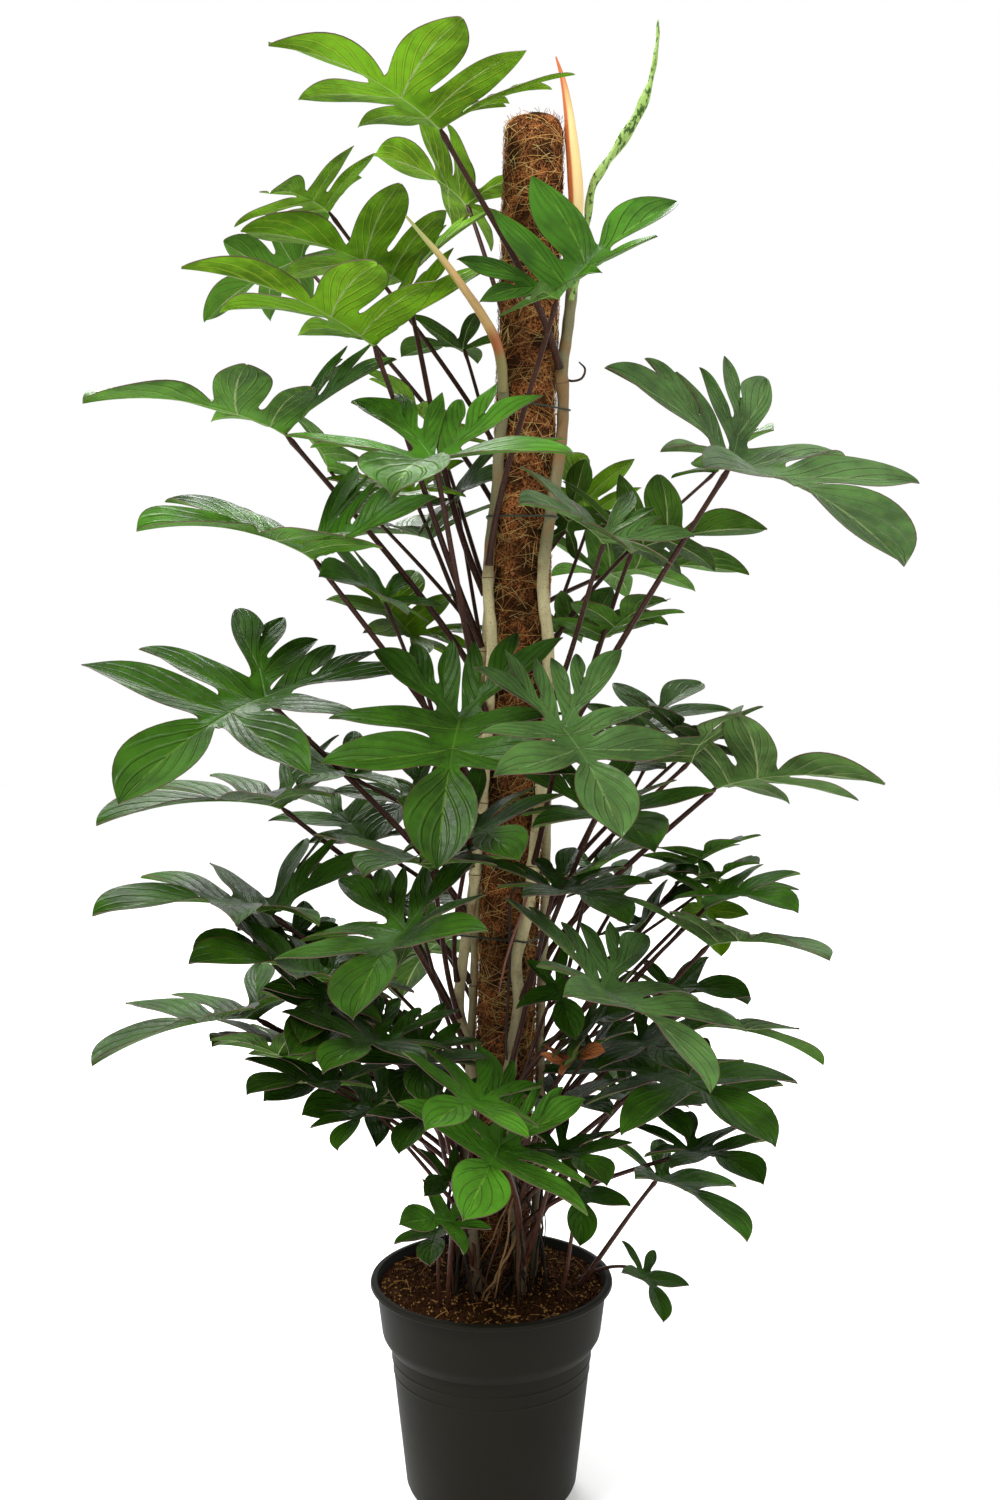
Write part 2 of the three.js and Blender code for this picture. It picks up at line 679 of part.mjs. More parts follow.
function petioleRadii(leaf, count, grow) {
  const { small, large, shortBlade, longBlade } = PETIOLE_RADII;
  const radius = lerp(small, large, smoothstep(leaf.length, shortBlade, longBlade));
  const radii = Array.from({ length: count }, (_, i) => {
    return radius * lerp(PETIOLE_TAPER.foot, PETIOLE_TAPER.top, i / (count - 2)) + grow;
  });
  radii[count - 1] = PETIOLE_TAPER.end;
  return radii;
}

// One row for each leaf.
// stem and from: the stem and the height of the node it leaves, or no stem and where it leaves the soil.
// joint and depth: where the blade joins its stalk, as sighted. tip: the terminal tip, as sighted.
// face: -1 if the tip is nearer than the joint, 1 if further. length: joint to tip.
// roll: turn about the midrib, in degrees. back and cup: rise of the lobes at the back and sides, in
// radians. clear: how far the stalk first stands off its stem. swing: degrees it first turns about the
// pole. arch: how far it bows up near the blade.
const LEAVES = [
  {
    name: "leaf_01", kind: "full", stem: "right", from: 1236,
    joint: [440, 127], depth: -95, tip: [265, 41], face: -1, length: 215,
    roll: -5, back: 1.1, swing: -60, clear: 42,
  },
  {
    name: "leaf_02", kind: "plain", stem: "back", from: 1130,
    joint: [328, 210], depth: 85, tip: [268, 191], face: -1, length: 140,
    roll: 0, back: 1.0,
  },
  {
    name: "leaf_03", kind: "full", stem: "left_back", from: 1000,
    joint: [404, 281], depth: 10, tip: [238, 231], face: -1, length: 200,
    roll: -5, back: 1.4,
  },
  {
    name: "leaf_04", kind: "full", stem: "left_back", from: 940,
    joint: [374, 344], depth: -85, tip: [178, 268], face: -1, length: 225,
    roll: -10, back: 1.6,
  },
  {
    name: "leaf_05", kind: "plain", stem: "back", from: 1060,
    joint: [300, 258], depth: 200, tip: [195, 326], face: 1, length: 150,
    roll: 10, back: 0.3,
  },
  {
    name: "leaf_06", kind: "plain", stem: "back", from: 1275,
    joint: [468, 204], depth: 108, tip: [374, 153], face: 1, length: 165,
    roll: 15, back: 0.8,
  },
  {
    name: "leaf_07", kind: "broad", stem: "left", from: 1018,
    joint: [557, 297], depth: -115, tip: [680, 203], face: 1, length: 175,
    roll: 20, back: 0.8, cup: 0.9,
  },
  {
    name: "leaf_08", kind: "young", stem: "back", from: 1095,
    joint: [464, 347], depth: 75, tip: [400, 357], face: 1, length: 110,
    roll: 10, back: 0.8,
  },
  {
    name: "leaf_09", kind: "full", stem: "left_back", from: 900,
    joint: [285, 432], depth: -20, tip: [78, 398], face: -1, length: 225,
    roll: -15, back: 1.4,
  },
  {
    name: "leaf_10", kind: "full", stem: "left", from: 860,
    joint: [435, 463], depth: -150, tip: [391, 499], face: -1, length: 210,
    roll: -10, back: 1.0,
  },
  {
    name: "leaf_11", kind: "full", stem: "left", from: 770,
    joint: [314, 557], depth: -100, tip: [133, 527], face: -1, length: 215,
    roll: -25, back: 1.4, clear: 8,
  },
  {
    name: "leaf_12", kind: "plain", stem: "back", from: 840,
    joint: [431, 537], depth: 125, tip: [328, 545], face: 1, length: 160,
    roll: -20, back: 0.8,
  },
  {
    name: "leaf_13", kind: "broad", stem: "left_back", from: 720,
    joint: [411, 635], depth: 58, tip: [320, 563], face: 1, length: 150,
    roll: -25, back: 0.8,
  },
  {
    name: "leaf_14", kind: "full", stem: "left", from: 640,
    joint: [265, 697], depth: -78, tip: [116, 807], face: -1, length: 225,
    roll: -35, back: 0.6,
  },
  {
    name: "leaf_15", kind: "broad", stem: "left_back", from: 560,
    joint: [281, 806], depth: -15, tip: [93, 826], face: -1, length: 215,
    roll: -15, back: 1.1,
  },
  {
    name: "leaf_16", kind: "plain", stem: "back", from: 580,
    joint: [368, 841], depth: 95, tip: [292, 790], face: 1, length: 150,
    roll: -10, back: 0.8,
  },
  {
    name: "leaf_17", kind: "full", stem: "left", from: 690,
    joint: [459, 721], depth: -152, tip: [437, 872], face: -1, length: 190,
    roll: -5, back: 0.7,
  },
  {
    name: "leaf_18", kind: "full", stem: "right", from: 700,
    joint: [563, 728], depth: -205, tip: [622, 841], face: -1, length: 150,
    roll: 5, back: 0.8,
  },
  {
    name: "leaf_19", kind: "broad", stem: "right_back", from: 640,
    joint: [637, 735], depth: 100, tip: [703, 684], face: 1, length: 140,
    roll: 10, back: 0.8,
  },
  {
    name: "leaf_20", kind: "broad", stem: "right_back", from: 590,
    joint: [717, 786], depth: -15, tip: [886, 788], face: -1, length: 205,
    roll: -10, back: 1.0,
  },
  {
    name: "leaf_21", kind: "broad", stem: "right", from: 870,
    joint: [605, 541], depth: -120, tip: [517, 505], face: -1, length: 140,
    roll: -15, back: 1.2,
  },
  {
    name: "leaf_22", kind: "broad", stem: "right_back", from: 800,
    joint: [633, 549], depth: 15, tip: [769, 530], face: -1, length: 158,
    roll: -15, back: 1.2,
  },
  {
    name: "leaf_23", kind: "full", stem: "right", from: 790,
    joint: [732, 463], depth: -140, tip: [906, 570], face: -1, length: 235,
    roll: 12, back: 1.0,
  },
  {
    name: "leaf_24", kind: "plain", stem: "back", from: 900,
    joint: [563, 628], depth: 78, tip: [673, 625], face: 1, length: 125,
    roll: 0, back: 0.8,
  },
  {
    name: "leaf_25", kind: "plain", stem: "back", from: 948,
    joint: [600, 575], depth: 172, tip: [752, 574], face: -1, length: 190,
    roll: 0, back: 0.8,
  },
  {
    name: "leaf_26", kind: "young", stem: "back", from: 985,
    joint: [566, 530], depth: 58, tip: [588, 448], face: 1, length: 85,
    roll: 0, back: 0.8,
  },
  {
    name: "leaf_27", kind: "broad", stem: "left_back", from: 440,
    joint: [272, 913], depth: -60, tip: [89, 915], face: -1, length: 200,
    roll: -15, back: 1.4,
  },
  {
    name: "leaf_28", kind: "full", stem: "left", from: 490,
    joint: [405, 930], depth: -185, tip: [353, 1023], face: -1, length: 165,
    roll: 8, back: 0.8,
  },
  {
    name: "leaf_29", kind: "broad", stem: "left_back", from: 390,
    joint: [325, 979], depth: -130, tip: [186, 961], face: -1, length: 150,
    roll: -12, back: 0.6,
  },
  {
    name: "leaf_30", kind: "broad", stem: "back", from: 340,
    joint: [256, 1017], depth: 10, tip: [89, 1067], face: -1, length: 205,
    roll: -8, back: 0.8,
  },
  {
    name: "leaf_31", kind: "plain", stem: "left", from: 360,
    joint: [298, 1065], depth: -20, tip: [208, 1038], face: -1, length: 125,
    roll: 0, back: 0.7,
  },
  {
    name: "leaf_32", kind: "plain", stem: "left", from: 305,
    joint: [372, 1108], depth: -70, tip: [337, 1152], face: -1, length: 90,
    roll: 0, back: 0.7,
  },
  {
    name: "leaf_33", kind: "broad", stem: "left", from: 325,
    joint: [438, 1107], depth: -126, tip: [398, 1155], face: -1, length: 95,
    roll: 0, back: 0.7,
  },
  {
    name: "leaf_34", kind: "full", stem: "right", from: 290,
    joint: [500, 1145], depth: -196, tip: [461, 1224], face: -1, length: 150,
    roll: -25, back: 1.2,
  },
  {
    name: "leaf_35", kind: "young", stem: null, from: [-46, -50],
    joint: [437, 1231], depth: -95, tip: [430, 1267], face: -1, length: 75,
    roll: 0, back: 0.7,
  },
  {
    name: "leaf_36", kind: "young", stem: null, from: [62, -38],
    joint: [580, 1187], depth: -95, tip: [580, 1247], face: -1, length: 90,
    roll: 0, back: 0.7,
  },
  {
    name: "leaf_37", kind: "young", stem: null, from: [78, -8],
    joint: [658, 1178], depth: -30, tip: [749, 1243], face: -1, length: 140,
    roll: 0, back: 0.7,
  },
  {
    name: "leaf_38", kind: "full", stem: "right", from: 330,
    joint: [658, 1073], depth: -85, tip: [778, 1148], face: -1, length: 175,
    roll: 15, back: 0.5, cup: 0.1,
  },
  {
    name: "leaf_39", kind: "full", stem: "right", from: 440,
    joint: [603, 990], depth: -165, tip: [715, 1092], face: -1, length: 185,
    roll: -15, back: 0.8,
  },
  {
    name: "leaf_40", kind: "broad", stem: "right", from: 480,
    joint: [554, 889], depth: -115, tip: [631, 925], face: -1, length: 130,
    roll: 0, back: 0.7,
  },
  {
    name: "leaf_41", kind: "plain", stem: "right_back", from: 440,
    joint: [715, 887], depth: 110, tip: [794, 910], face: 1, length: 125,
    roll: 0, back: 0.7,
  },
  {
    name: "leaf_42", kind: "broad", stem: "right_back", from: 390,
    joint: [710, 943], depth: -25, tip: [831, 963], face: -1, length: 165,
    roll: 0, back: 0.7,
  },
  {
    name: "leaf_43", kind: "young", stem: "back", from: 400,
    joint: [672, 994], depth: 120, tip: [750, 1003], face: 1, length: 125,
    roll: 0, back: 0.7,
  },
  {
    name: "leaf_44", kind: "plain", stem: "right_back", from: 300,
    joint: [695, 1025], depth: 110, tip: [827, 1063], face: 1, length: 175,
    roll: 0, back: 0.7,
  },
  {
    name: "leaf_45", kind: "young", stem: null, from: [64, 8],
    joint: [643, 1272], depth: 0, tip: [664, 1323], face: -1, length: 75,
    roll: 0, back: 0.7, arch: 30,
  },
  {
    name: "leaf_46", kind: "plain", stem: "back", from: 460,
    joint: [440, 940], depth: 170, tip: [400, 1000], face: 1, length: 170,
    roll: 0, back: 0.7,
  },
];

LEAVES.forEach((leaf, index) => {
  leaf.seed = index + 1;
  if (leaf.stem) STEMS[leaf.stem].nodes.push(leaf.from);
});

function makeLeaf(leaf) {
  const joint = sighted(leaf.joint, leaf.depth);
  const axes = bladeAxes(leaf, joint);
  const line = petioleLine(leaf, joint, axes);
  const stalk = solid(tube(line, petioleRadii(leaf, line.length, 0), PETIOLE_SIDES));
  let whole = stalk.add(solid(makeBlade(leaf, joint, axes)));
  if (leaf.stem) whole = whole.subtract(solid(stemTube(STEMS[leaf.stem], SEAT_GAP)));
  return largest(whole);
}

// New growth on the stems. Each piece is a line of sightings from inside its stem, with the depth and the
// radius at each.
const GROWTH = [
  {
    // Young shoot
    stem: "left",
    sightings: [
      [503, 392], [502, 368], [496, 342], [482, 315], [465, 290], [440, 256], [422, 235], [406, 216],
    ],
    depths: [-38, -46, -66, -92, -112, -118, -116, -112],
    radii: [4.5, 6, 5.6, 5, 4.4, 3.4, 2.4, 1.2],
  },
  {
    // Furled leaf
    stem: "right",
    sightings: [
      [571, 300], [582, 262], [587, 225], [593, 185], [612, 155], [636, 118], [650, 82], [657, 45],
      [658, 20],
    ],
    depths: [-12, 4, 10, 12, 12, 10, 8, 6, 4],
    radii: [2.4, 2.6, 2.8, 4.6, 5.6, 5.2, 4, 2.4, 0.9],
  },
  {
    // Aerial root
    stem: "right",
    sightings: [[528, 893], [522, 912], [512, 940], [504, 968], [499, 993]],
    depths: [-40, -52, -55, -52, -46],
    radii: [1.6, 1.6, 1.5, 1.3, 0.8],
  },
  {
    // Curled aerial root
    stem: "right",
    sightings: [[564, 379], [573, 381], [582, 378], [585, 369], [579, 362]],
    depths: [-10, -16, -20, -20, -18],
    radii: [1.5, 1.4, 1.3, 1.2, 0.8],
  },
];

const GROWTH_SIDES = 5;

function makeGrowth({ sightings, depths, radii }) {
  return solid(tube(sightings.map((sighting, i) => sighted(sighting, depths[i])), radii, GROWTH_SIDES));
}

function makeStem(name) {
  return GROWTH.filter(({ stem }) => stem === name).reduce(
    (whole, growth) => whole.add(makeGrowth(growth)),
    solid(stemTube(STEMS[name], 0)),
  );
}

// Long pointed sheath that stands on the end of the right stem
const SHEATH_SIGHTINGS = [
  [575, 232], [576, 205], [575, 180], [572, 145], [568, 108], [563, 80], [556, 57],
];
const SHEATH_DEPTHS = [-6, -8, -8, -8, -6, -4, -2];
const SHEATH_RADII = [6.6, 8.4, 8.6, 7.4, 5.2, 3.2, 0.9];
const SHEATH_SIDES = 7;

function makeTopSheath() {
  const end = STEMS.right.samples.at(-1);
  const line = SHEATH_SIGHTINGS.map((sighting, i) => sighted(sighting, SHEATH_DEPTHS[i]));
  const seat = end.clone().addScaledVector(line[0].clone().sub(end).normalize(), 2 * SEAT_GAP);
  const whole = solid(tube([seat, ...line], [SHEATH_RADII[0], ...SHEATH_RADII], SHEATH_SIDES));
  return largest(whole.subtract(solid(stemTube(STEMS.right, SEAT_GAP))));
}

// A tie is drawn tight round the pole and the stems that lie on it at its height
function makeTie({ z }) {
  const stems = Object.values(STEMS).filter((stem) => stem.samples.at(-1).z > z);
  const bound = [
    { place: poleAxis(z), radius: SLEEVE_RADIUS + SLEEVE_ROUGH },
    ...stems.map((stem) => ({ place: stemAt(stem, z), radius: stem.radius })),
  ];
  const corner = (2 * Math.PI) / TIE_CORNERS;
  const reach = (turn) => {
    const line = vec(Math.cos(turn), Math.sin(turn), 0);
    return Math.max(...bound.map(({ place, radius }) => place.dot(line) + radius)) + TIE_WIRE + SEAT_GAP;
  };
  // Each corner is where the lines that bound the bundle from two neighbouring directions cross
  const line = Array.from({ length: TIE_CORNERS }, (_, k) => {
    const a = k * corner;
    const b = a + corner;
    const x = reach(a) * Math.sin(b) - reach(b) * Math.sin(a);
    const y = reach(b) * Math.cos(a) - reach(a) * Math.cos(b);
    return vec(x / Math.sin(corner), y / Math.sin(corner), z);
  });
  return solid(wireRing(line, TIE_WIRE, TIE_WIRE_SIDES));
}

// Colour and roughness of each kind of piece
const LOOKS = {
  pot: [0x35342f, 0.55],
  soil: [0x3b2413, 0.95],
  wood: [0x9a7a50, 0.8],
  coir: [0x54351c, 0.95],
  stem: [0x9c9a6c, 0.6],
  leaf: [0x2f7a22, 0.4],
  sheath: [0xd98a4e, 0.5],
  wire: [0x1f3322, 0.5],
};

const plant = new THREE.Group();

function add(name, shape, look) {
  const [color, roughness] = LOOKS[look];
  const finish = new THREE.MeshStandardMaterial({ color, roughness, metalness: 0 });
  const mesh = new THREE.Mesh(geometryOf(shape), finish);
  mesh.name = name;
  plant.add(mesh);
}

// The pole and every stem stand in plain holes in the soil
function makeBoredSoil() {
  const poleRadius = SLEEVE_RADIUS + SLEEVE_ROUGH + SEAT_GAP;
  const poleLine = [poleAxis(POLE_FOOT.z - SEAT_GAP), poleAxis(POT_HEIGHT)];
  let soil = makeSoil().subtract(solid(tube(poleLine, [poleRadius, poleRadius], SLEEVE_SIDES)));
  for (const stem of Object.values(STEMS)) soil = soil.subtract(solid(stemTube(stem, SEAT_GAP)));
  for (const leaf of LEAVES.filter(({ stem }) => !stem)) {
    const joint = sighted(leaf.joint, leaf.depth);
    const line = petioleLine(leaf, joint, bladeAxes(leaf, joint));
    soil = soil.subtract(solid(tube(line, petioleRadii(leaf, line.length, SEAT_GAP), PETIOLE_SIDES)));
  }
  return largest(soil);
}

add("pot", makePot(), "pot");
add("soil", makeBoredSoil(), "soil");
add("pole_core", makeCore(), "wood");
add("coir_sleeve", makeSleeve(), "coir");
for (const name of Object.keys(STEMS)) add(`stem_${name}`, makeStem(name), "stem");
add("top_sheath", makeTopSheath(), "sheath");
for (const tie of TIES) add(tie.name, makeTie(tie), "wire");
for (const leaf of LEAVES) add(leaf.name, makeLeaf(leaf), "leaf");

export default plant;
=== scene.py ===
"""A climbing philodendron with lobed leaves on a coir pole, in a dark nursery pot.

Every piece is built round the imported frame, in metres, with +Z up and the viewer on the -Y side.
"""

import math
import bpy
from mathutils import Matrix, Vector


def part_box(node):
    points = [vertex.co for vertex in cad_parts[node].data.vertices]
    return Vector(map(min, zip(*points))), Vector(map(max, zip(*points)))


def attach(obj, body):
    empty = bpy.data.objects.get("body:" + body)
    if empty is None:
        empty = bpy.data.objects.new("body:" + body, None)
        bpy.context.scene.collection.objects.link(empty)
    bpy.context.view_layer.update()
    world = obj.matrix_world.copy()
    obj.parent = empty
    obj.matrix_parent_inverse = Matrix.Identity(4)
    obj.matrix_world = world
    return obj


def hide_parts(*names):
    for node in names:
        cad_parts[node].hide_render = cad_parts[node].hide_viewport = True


bl_info = {
    "name": "Potted Philodendron",
    "version": (1, 0, 0),
    "blender": (4, 5, 0),
    "location": "View3D > Sidebar > Plant",
    "description": "Builds a climbing philodendron on a coir pole in a nursery pot",
    "category": "Add Mesh",
}

from collections import namedtuple

import bpy
import numpy as np
from bpy.props import FloatProperty, FloatVectorProperty, IntProperty, PointerProperty
from mathutils import Vector
from mathutils.bvhtree import BVHTree

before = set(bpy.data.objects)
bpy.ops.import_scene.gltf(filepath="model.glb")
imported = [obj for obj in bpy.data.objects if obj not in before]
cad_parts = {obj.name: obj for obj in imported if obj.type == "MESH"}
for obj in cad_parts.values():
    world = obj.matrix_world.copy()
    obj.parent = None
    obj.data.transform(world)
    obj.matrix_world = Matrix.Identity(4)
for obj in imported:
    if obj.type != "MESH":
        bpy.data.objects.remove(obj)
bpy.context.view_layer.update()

# Sizes that the frame gives
POT_LOW, POT_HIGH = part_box("pot")
SLEEVE_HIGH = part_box("coir_sleeve")[1]
SOIL_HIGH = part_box("soil")[1]

# The pole leans a little to the right
POLE_FOOT = np.array([0.0005, 0.0, 0.014])
POLE_LEAN = 0.0315
POLE_TOP_Z = SLEEVE_HIGH.z
SLEEVE_RADIUS = 0.033
STEM_STAND = 0.035

# The eye that the plant was plotted from, and the middle and focal length of its picture in pixels
EYE = np.array([0.0095, -1.465, 0.829])
EYE_FOCAL = 1308
PICTURE = (1000, 1500)
SENSOR = 36

UP = np.array([0.0, 0.0, 1.0])


# Settings


class PlantSizes(bpy.types.PropertyGroup):
    """Sizes that a user may change."""

    wall: FloatProperty(
        name="Pot wall", description="Thickness of the pot's wall", default=0.0016, unit="LENGTH"
    )
    fibre: FloatProperty(
        name="Coir fibre", description="Thickness of one fibre on the pole", default=0.0005, unit="LENGTH"
    )
    fibres: IntProperty(
        name="Fibres", description="How many loose fibres the pole shows", default=6000, min=0
    )
    thread: FloatProperty(
        name="Thread", description="Thickness of the thread on the pole", default=0.0006, unit="LENGTH"
    )
    thread_pitch: FloatProperty(
        name="Thread pitch", description="Rise of the thread in one turn", default=0.057, unit="LENGTH"
    )
    edge: FloatProperty(
        name="Leaf edge", description="Thickness of a blade at its edge", default=0.0007, unit="LENGTH"
    )
    crumbs: IntProperty(
        name="Soil crumbs", description="How many loose crumbs lie on the soil", default=7000, min=0
    )


def colour(name, description, value):
    """A colour setting, given in display values from 0 to 255."""
    return FloatVectorProperty(
        name=name, description=description, subtype="COLOR", size=3, default=tuple(v / 255 for v in value)
    )


class PlantColours(bpy.types.PropertyGroup):
    """Colours that a user may change, in display values."""

    bright: colour("Bright leaf", "Young leaves high on the left", (86, 130, 16))
    fresh: colour("Fresh leaf", "Leaves in full growth", (54, 96, 22))
    mid: colour("Middle leaf", "Grown leaves", (38, 69, 12))
    deep: colour("Deep leaf", "Old leaves low on the plant", (36, 66, 10))
    # The grey leaf colour is green with painted sheen mixed in: the pale sheen on the leaves on the right,
    # painted as a greyer green.
    sheen_grey: colour("Grey leaf", "Dull leaves on the right", (58, 86, 40))
    dry: colour("Dry leaf", "Withered scraps low on the plant", (150, 92, 52))
    stalk: colour("Stalk", "Maroon leaf stalks", (46, 26, 24))
    stem: colour("Stem", "Pale climbing stems", (198, 186, 142))
    pot: colour("Pot", "Dark plastic", (24, 23, 18))
    soil: colour("Soil", "Moist peat", (46, 26, 12))
    coir: colour("Coir", "Pressed coconut fibre", (150, 95, 55))
    thread: colour("Thread", "Thread round the pole", (190, 146, 80))


def linear(display):
    """A display colour as linear values with alpha."""
    return tuple(c / 12.92 if c <= 0.04045 else ((c + 0.055) / 1.055) ** 2.4 for c in display) + (1.0,)


def shade(display, by):
    """A display colour made lighter or darker."""
    return tuple(min(1.0, c * by) for c in display)


# Repeatable draws


def wobble(seed, k):
    """A repeatable draw from -1 to 1."""
    s = math.sin(seed * 12.9898 + k * 78.233) * 43758.5453
    return 2 * (s - math.floor(s)) - 1


# Places


def pole_axis(z):
    return np.array([POLE_FOOT[0] + POLE_LEAN * (z - POLE_FOOT[2]), 0.0, z])


def unit(v):
    return v / np.linalg.norm(v)


def sight_line(sighting):
    """Direction from the eye through a point [column, row] of its picture."""
    column, row = sighting
    return unit(np.array([column - PICTURE[0] / 2, EYE_FOCAL, PICTURE[1] / 2 - row], float))


def sighted(sighting, depth):
    """The point on a sight line that lies a depth behind the pole's plane."""
    line = sight_line(sighting)
    return EYE + line * (depth - EYE[1]) / line[1]


def against(sighting, face, stand):
    """A sighted point laid against the pole, in front of it (-1) or behind it (1)."""
    depth = face * stand
    for _ in range(3):
        place = sighted(sighting, depth)
        across = place[0] - pole_axis(place[2])[0]
        depth = face * math.sqrt(max(0.0, stand * stand - across * across))
    return sighted(sighting, depth)


def around_pole(z, azimuth, stand):
    turn = math.radians(azimuth)
    return pole_axis(z) + stand * np.array([math.cos(turn), math.sin(turn), 0])


def turned(v, axis, angle):
    """A vector turned about a unit axis."""
    c, s = math.cos(angle), math.sin(angle)
    return v * c + np.cross(axis, v) * s + axis * np.dot(axis, v) * (1 - c)


def smooth_line(points, per_span=14):
    """A centripetal curve through points, as a dense line."""
    p = [np.asarray(q, float) for q in points]
    p = [2 * p[0] - p[1], *p, 2 * p[-1] - p[-2]]
    line = []
    for a, b, c, d in zip(p, p[1:], p[2:], p[3:]):
        t = np.cumsum([0] + [max(1e-6, np.linalg.norm(v - u)) ** 0.5 for u, v in ((a, b), (b, c), (c, d))])
        for x in np.linspace(t[1], t[2], per_span, endpoint=False):
            ab = (t[1] - x) / (t[1] - t[0]) * a + (x - t[0]) / (t[1] - t[0]) * b
            bc = (t[2] - x) / (t[2] - t[1]) * b + (x - t[1]) / (t[2] - t[1]) * c
            cd = (t[3] - x) / (t[3] - t[2]) * c + (x - t[2]) / (t[3] - t[2]) * d
            abc = (t[2] - x) / (t[2] - t[0]) * ab + (x - t[0]) / (t[2] - t[0]) * bc
            bcd = (t[3] - x) / (t[3] - t[1]) * bc + (x - t[1]) / (t[3] - t[1]) * cd
            line.append((t[2] - x) / (t[2] - t[1]) * abc + (x - t[1]) / (t[2] - t[1]) * bcd)
    return np.array([*line, p[-2]])


def bezier(points, t):
    """A Bezier curve of any degree at the shares t."""
    n = len(points) - 1
    t = np.asarray(t, float)[:, None]
    weights = [math.comb(n, k) * t**k * (1 - t) ** (n - k) for k in range(n + 1)]
    return sum(weight * np.asarray(p, float) for weight, p in zip(weights, points))


# Meshes


class Shape:
    """Vertices and faces gathered for one piece, with a finish number and a UV for each face corner."""

    def __init__(self):
        self.verts = []
        self.faces = []
        self.finish = []
        self.uvs = []
        self.count = 0

    def add(self, verts, faces, finish=0, uvs=None):
        """Adds vertices, faces that index them, and a UV for each vertex or each corner of a face."""
        start = self.count
        self.verts.append(np.asarray(verts, float))
        self.count += len(verts)
        for i, face in enumerate(faces):
            self.faces.append([start + k for k in face])
            self.finish.append(finish if isinstance(finish, int) else finish[i])
            if uvs is None:
                self.uvs.extend([(0.0, 0.0)] * len(face))
            elif len(uvs) == len(faces) and not np.isscalar(uvs[i][0]):
                self.uvs.extend(uvs[i])
            else:
                self.uvs.extend(tuple(uvs[k]) for k in face)

    def build(self, name, finishes, sharp=50):
        """Makes the piece. Edges that turn more than sharp degrees stay crisp."""
        mesh = bpy.data.meshes.new(name)
        mesh.from_pydata(np.concatenate(self.verts).tolist(), [], self.faces)
        for finish in finishes:
            mesh.materials.append(finish)
        mesh.polygons.foreach_set("material_index", self.finish)
        layer = mesh.uv_layers.new(name="surface")
        layer.data.foreach_set("uv", np.asarray(self.uvs, np.float32).ravel())
        mesh.polygons.foreach_set("use_smooth", [True] * len(mesh.polygons))
        mesh.update()
        mesh.set_sharp_from_angle(angle=math.radians(sharp))
        piece = bpy.data.objects.new(name, mesh)
        bpy.context.scene.collection.objects.link(piece)
        return piece


def settle(piece, slot, *nodes):
    """Fixes a finished piece to the plant, in place of the named nodes."""
    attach(piece, "root")
    if nodes:
        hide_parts(*nodes)
    return piece


def frames_along(line, closed=False):
    """Two directions across a line at each of its points, carried along it without twist."""
    line = np.asarray(line, float)
    if closed:
        along = np.roll(line, -1, 0) - np.roll(line, 1, 0)
    else:
        along = np.gradient(line, axis=0)
    along /= np.linalg.norm(along, axis=1)[:, None]
    side = UP if abs(along[0][2]) < 0.9 else np.array([1.0, 0, 0])
    sides = []
    for a in along:
        side = unit(side - a * np.dot(side, a))
        sides.append(side)
    sides = np.array(sides)
    return sides, np.cross(along, sides)


def add_tube(shape, line, radii, sides, finish=0, relief=None, closed=False):
    """A tube with capped ends. relief(i, turn) is added to its radius, and the UV is (turn, share)."""
    line = np.asarray(line, float)
    side, other = frames_along(line, closed)
    n = len(line)
    radii = np.broadcast_to(radii, n)
    turns = 2 * np.pi * np.arange(sides) / sides
    radius = np.repeat(np.asarray(radii, float)[:, None], sides, 1)
    if relief is not None:
        radius = radius + relief(np.arange(n)[:, None], turns[None, :])
    ring = line[:, None] + radius[..., None] * (
        side[:, None] * np.cos(turns)[None, :, None] + other[:, None] * np.sin(turns)[None, :, None]
    )
    verts = ring.reshape(-1, 3)
    share = np.linspace(0, 1, n)
    faces, uvs = [], []
    spans = n if closed else n - 1
    for i in range(spans):
        j = (i + 1) % n
        for k in range(sides):
            m = (k + 1) % sides
            faces.append([i * sides + k, i * sides + m, j * sides + m, j * sides + k])
            a, b = k / sides, (k + 1) / sides
            uvs.append([(a, share[i]), (b, share[i]), (b, share[j]), (a, share[j])])
    if not closed:
        faces.append(list(range(sides))[::-1])
        faces.append([(n - 1) * sides + k for k in range(sides)])
        uvs.append([(0.5, 0)] * sides)
        uvs.append([(0.5, 1)] * sides)
    shape.add(verts, faces, finish, uvs)


def add_lathe(shape, profile, facets, finish=0):
    """A closed round body from a profile of (radius, height) that starts and ends on the axis."""
    profile = np.asarray(profile, float)
    inner = profile[1:-1]
    turns = 2 * np.pi * np.arange(facets) / facets
    ring = np.stack(
        [
            inner[:, None, 0] * np.cos(turns)[None],
            inner[:, None, 0] * np.sin(turns)[None],
            np.repeat(inner[:, None, 1], facets, 1),
        ],
        -1,
    ).reshape(-1, 3)
    rows = len(inner)
    verts = [*ring, (0, 0, profile[0][1]), (0, 0, profile[-1][1])]
    faces = []
    for k in range(facets):
        m = (k + 1) % facets
        faces.append([rows * facets, m, k])
        faces.append([rows * facets + 1, (rows - 1) * facets + k, (rows - 1) * facets + m])
        for i in range(rows - 1):
            faces.append([i * facets + k, i * facets + m, (i + 1) * facets + m, (i + 1) * facets + k])
    shape.add(verts, faces, finish)
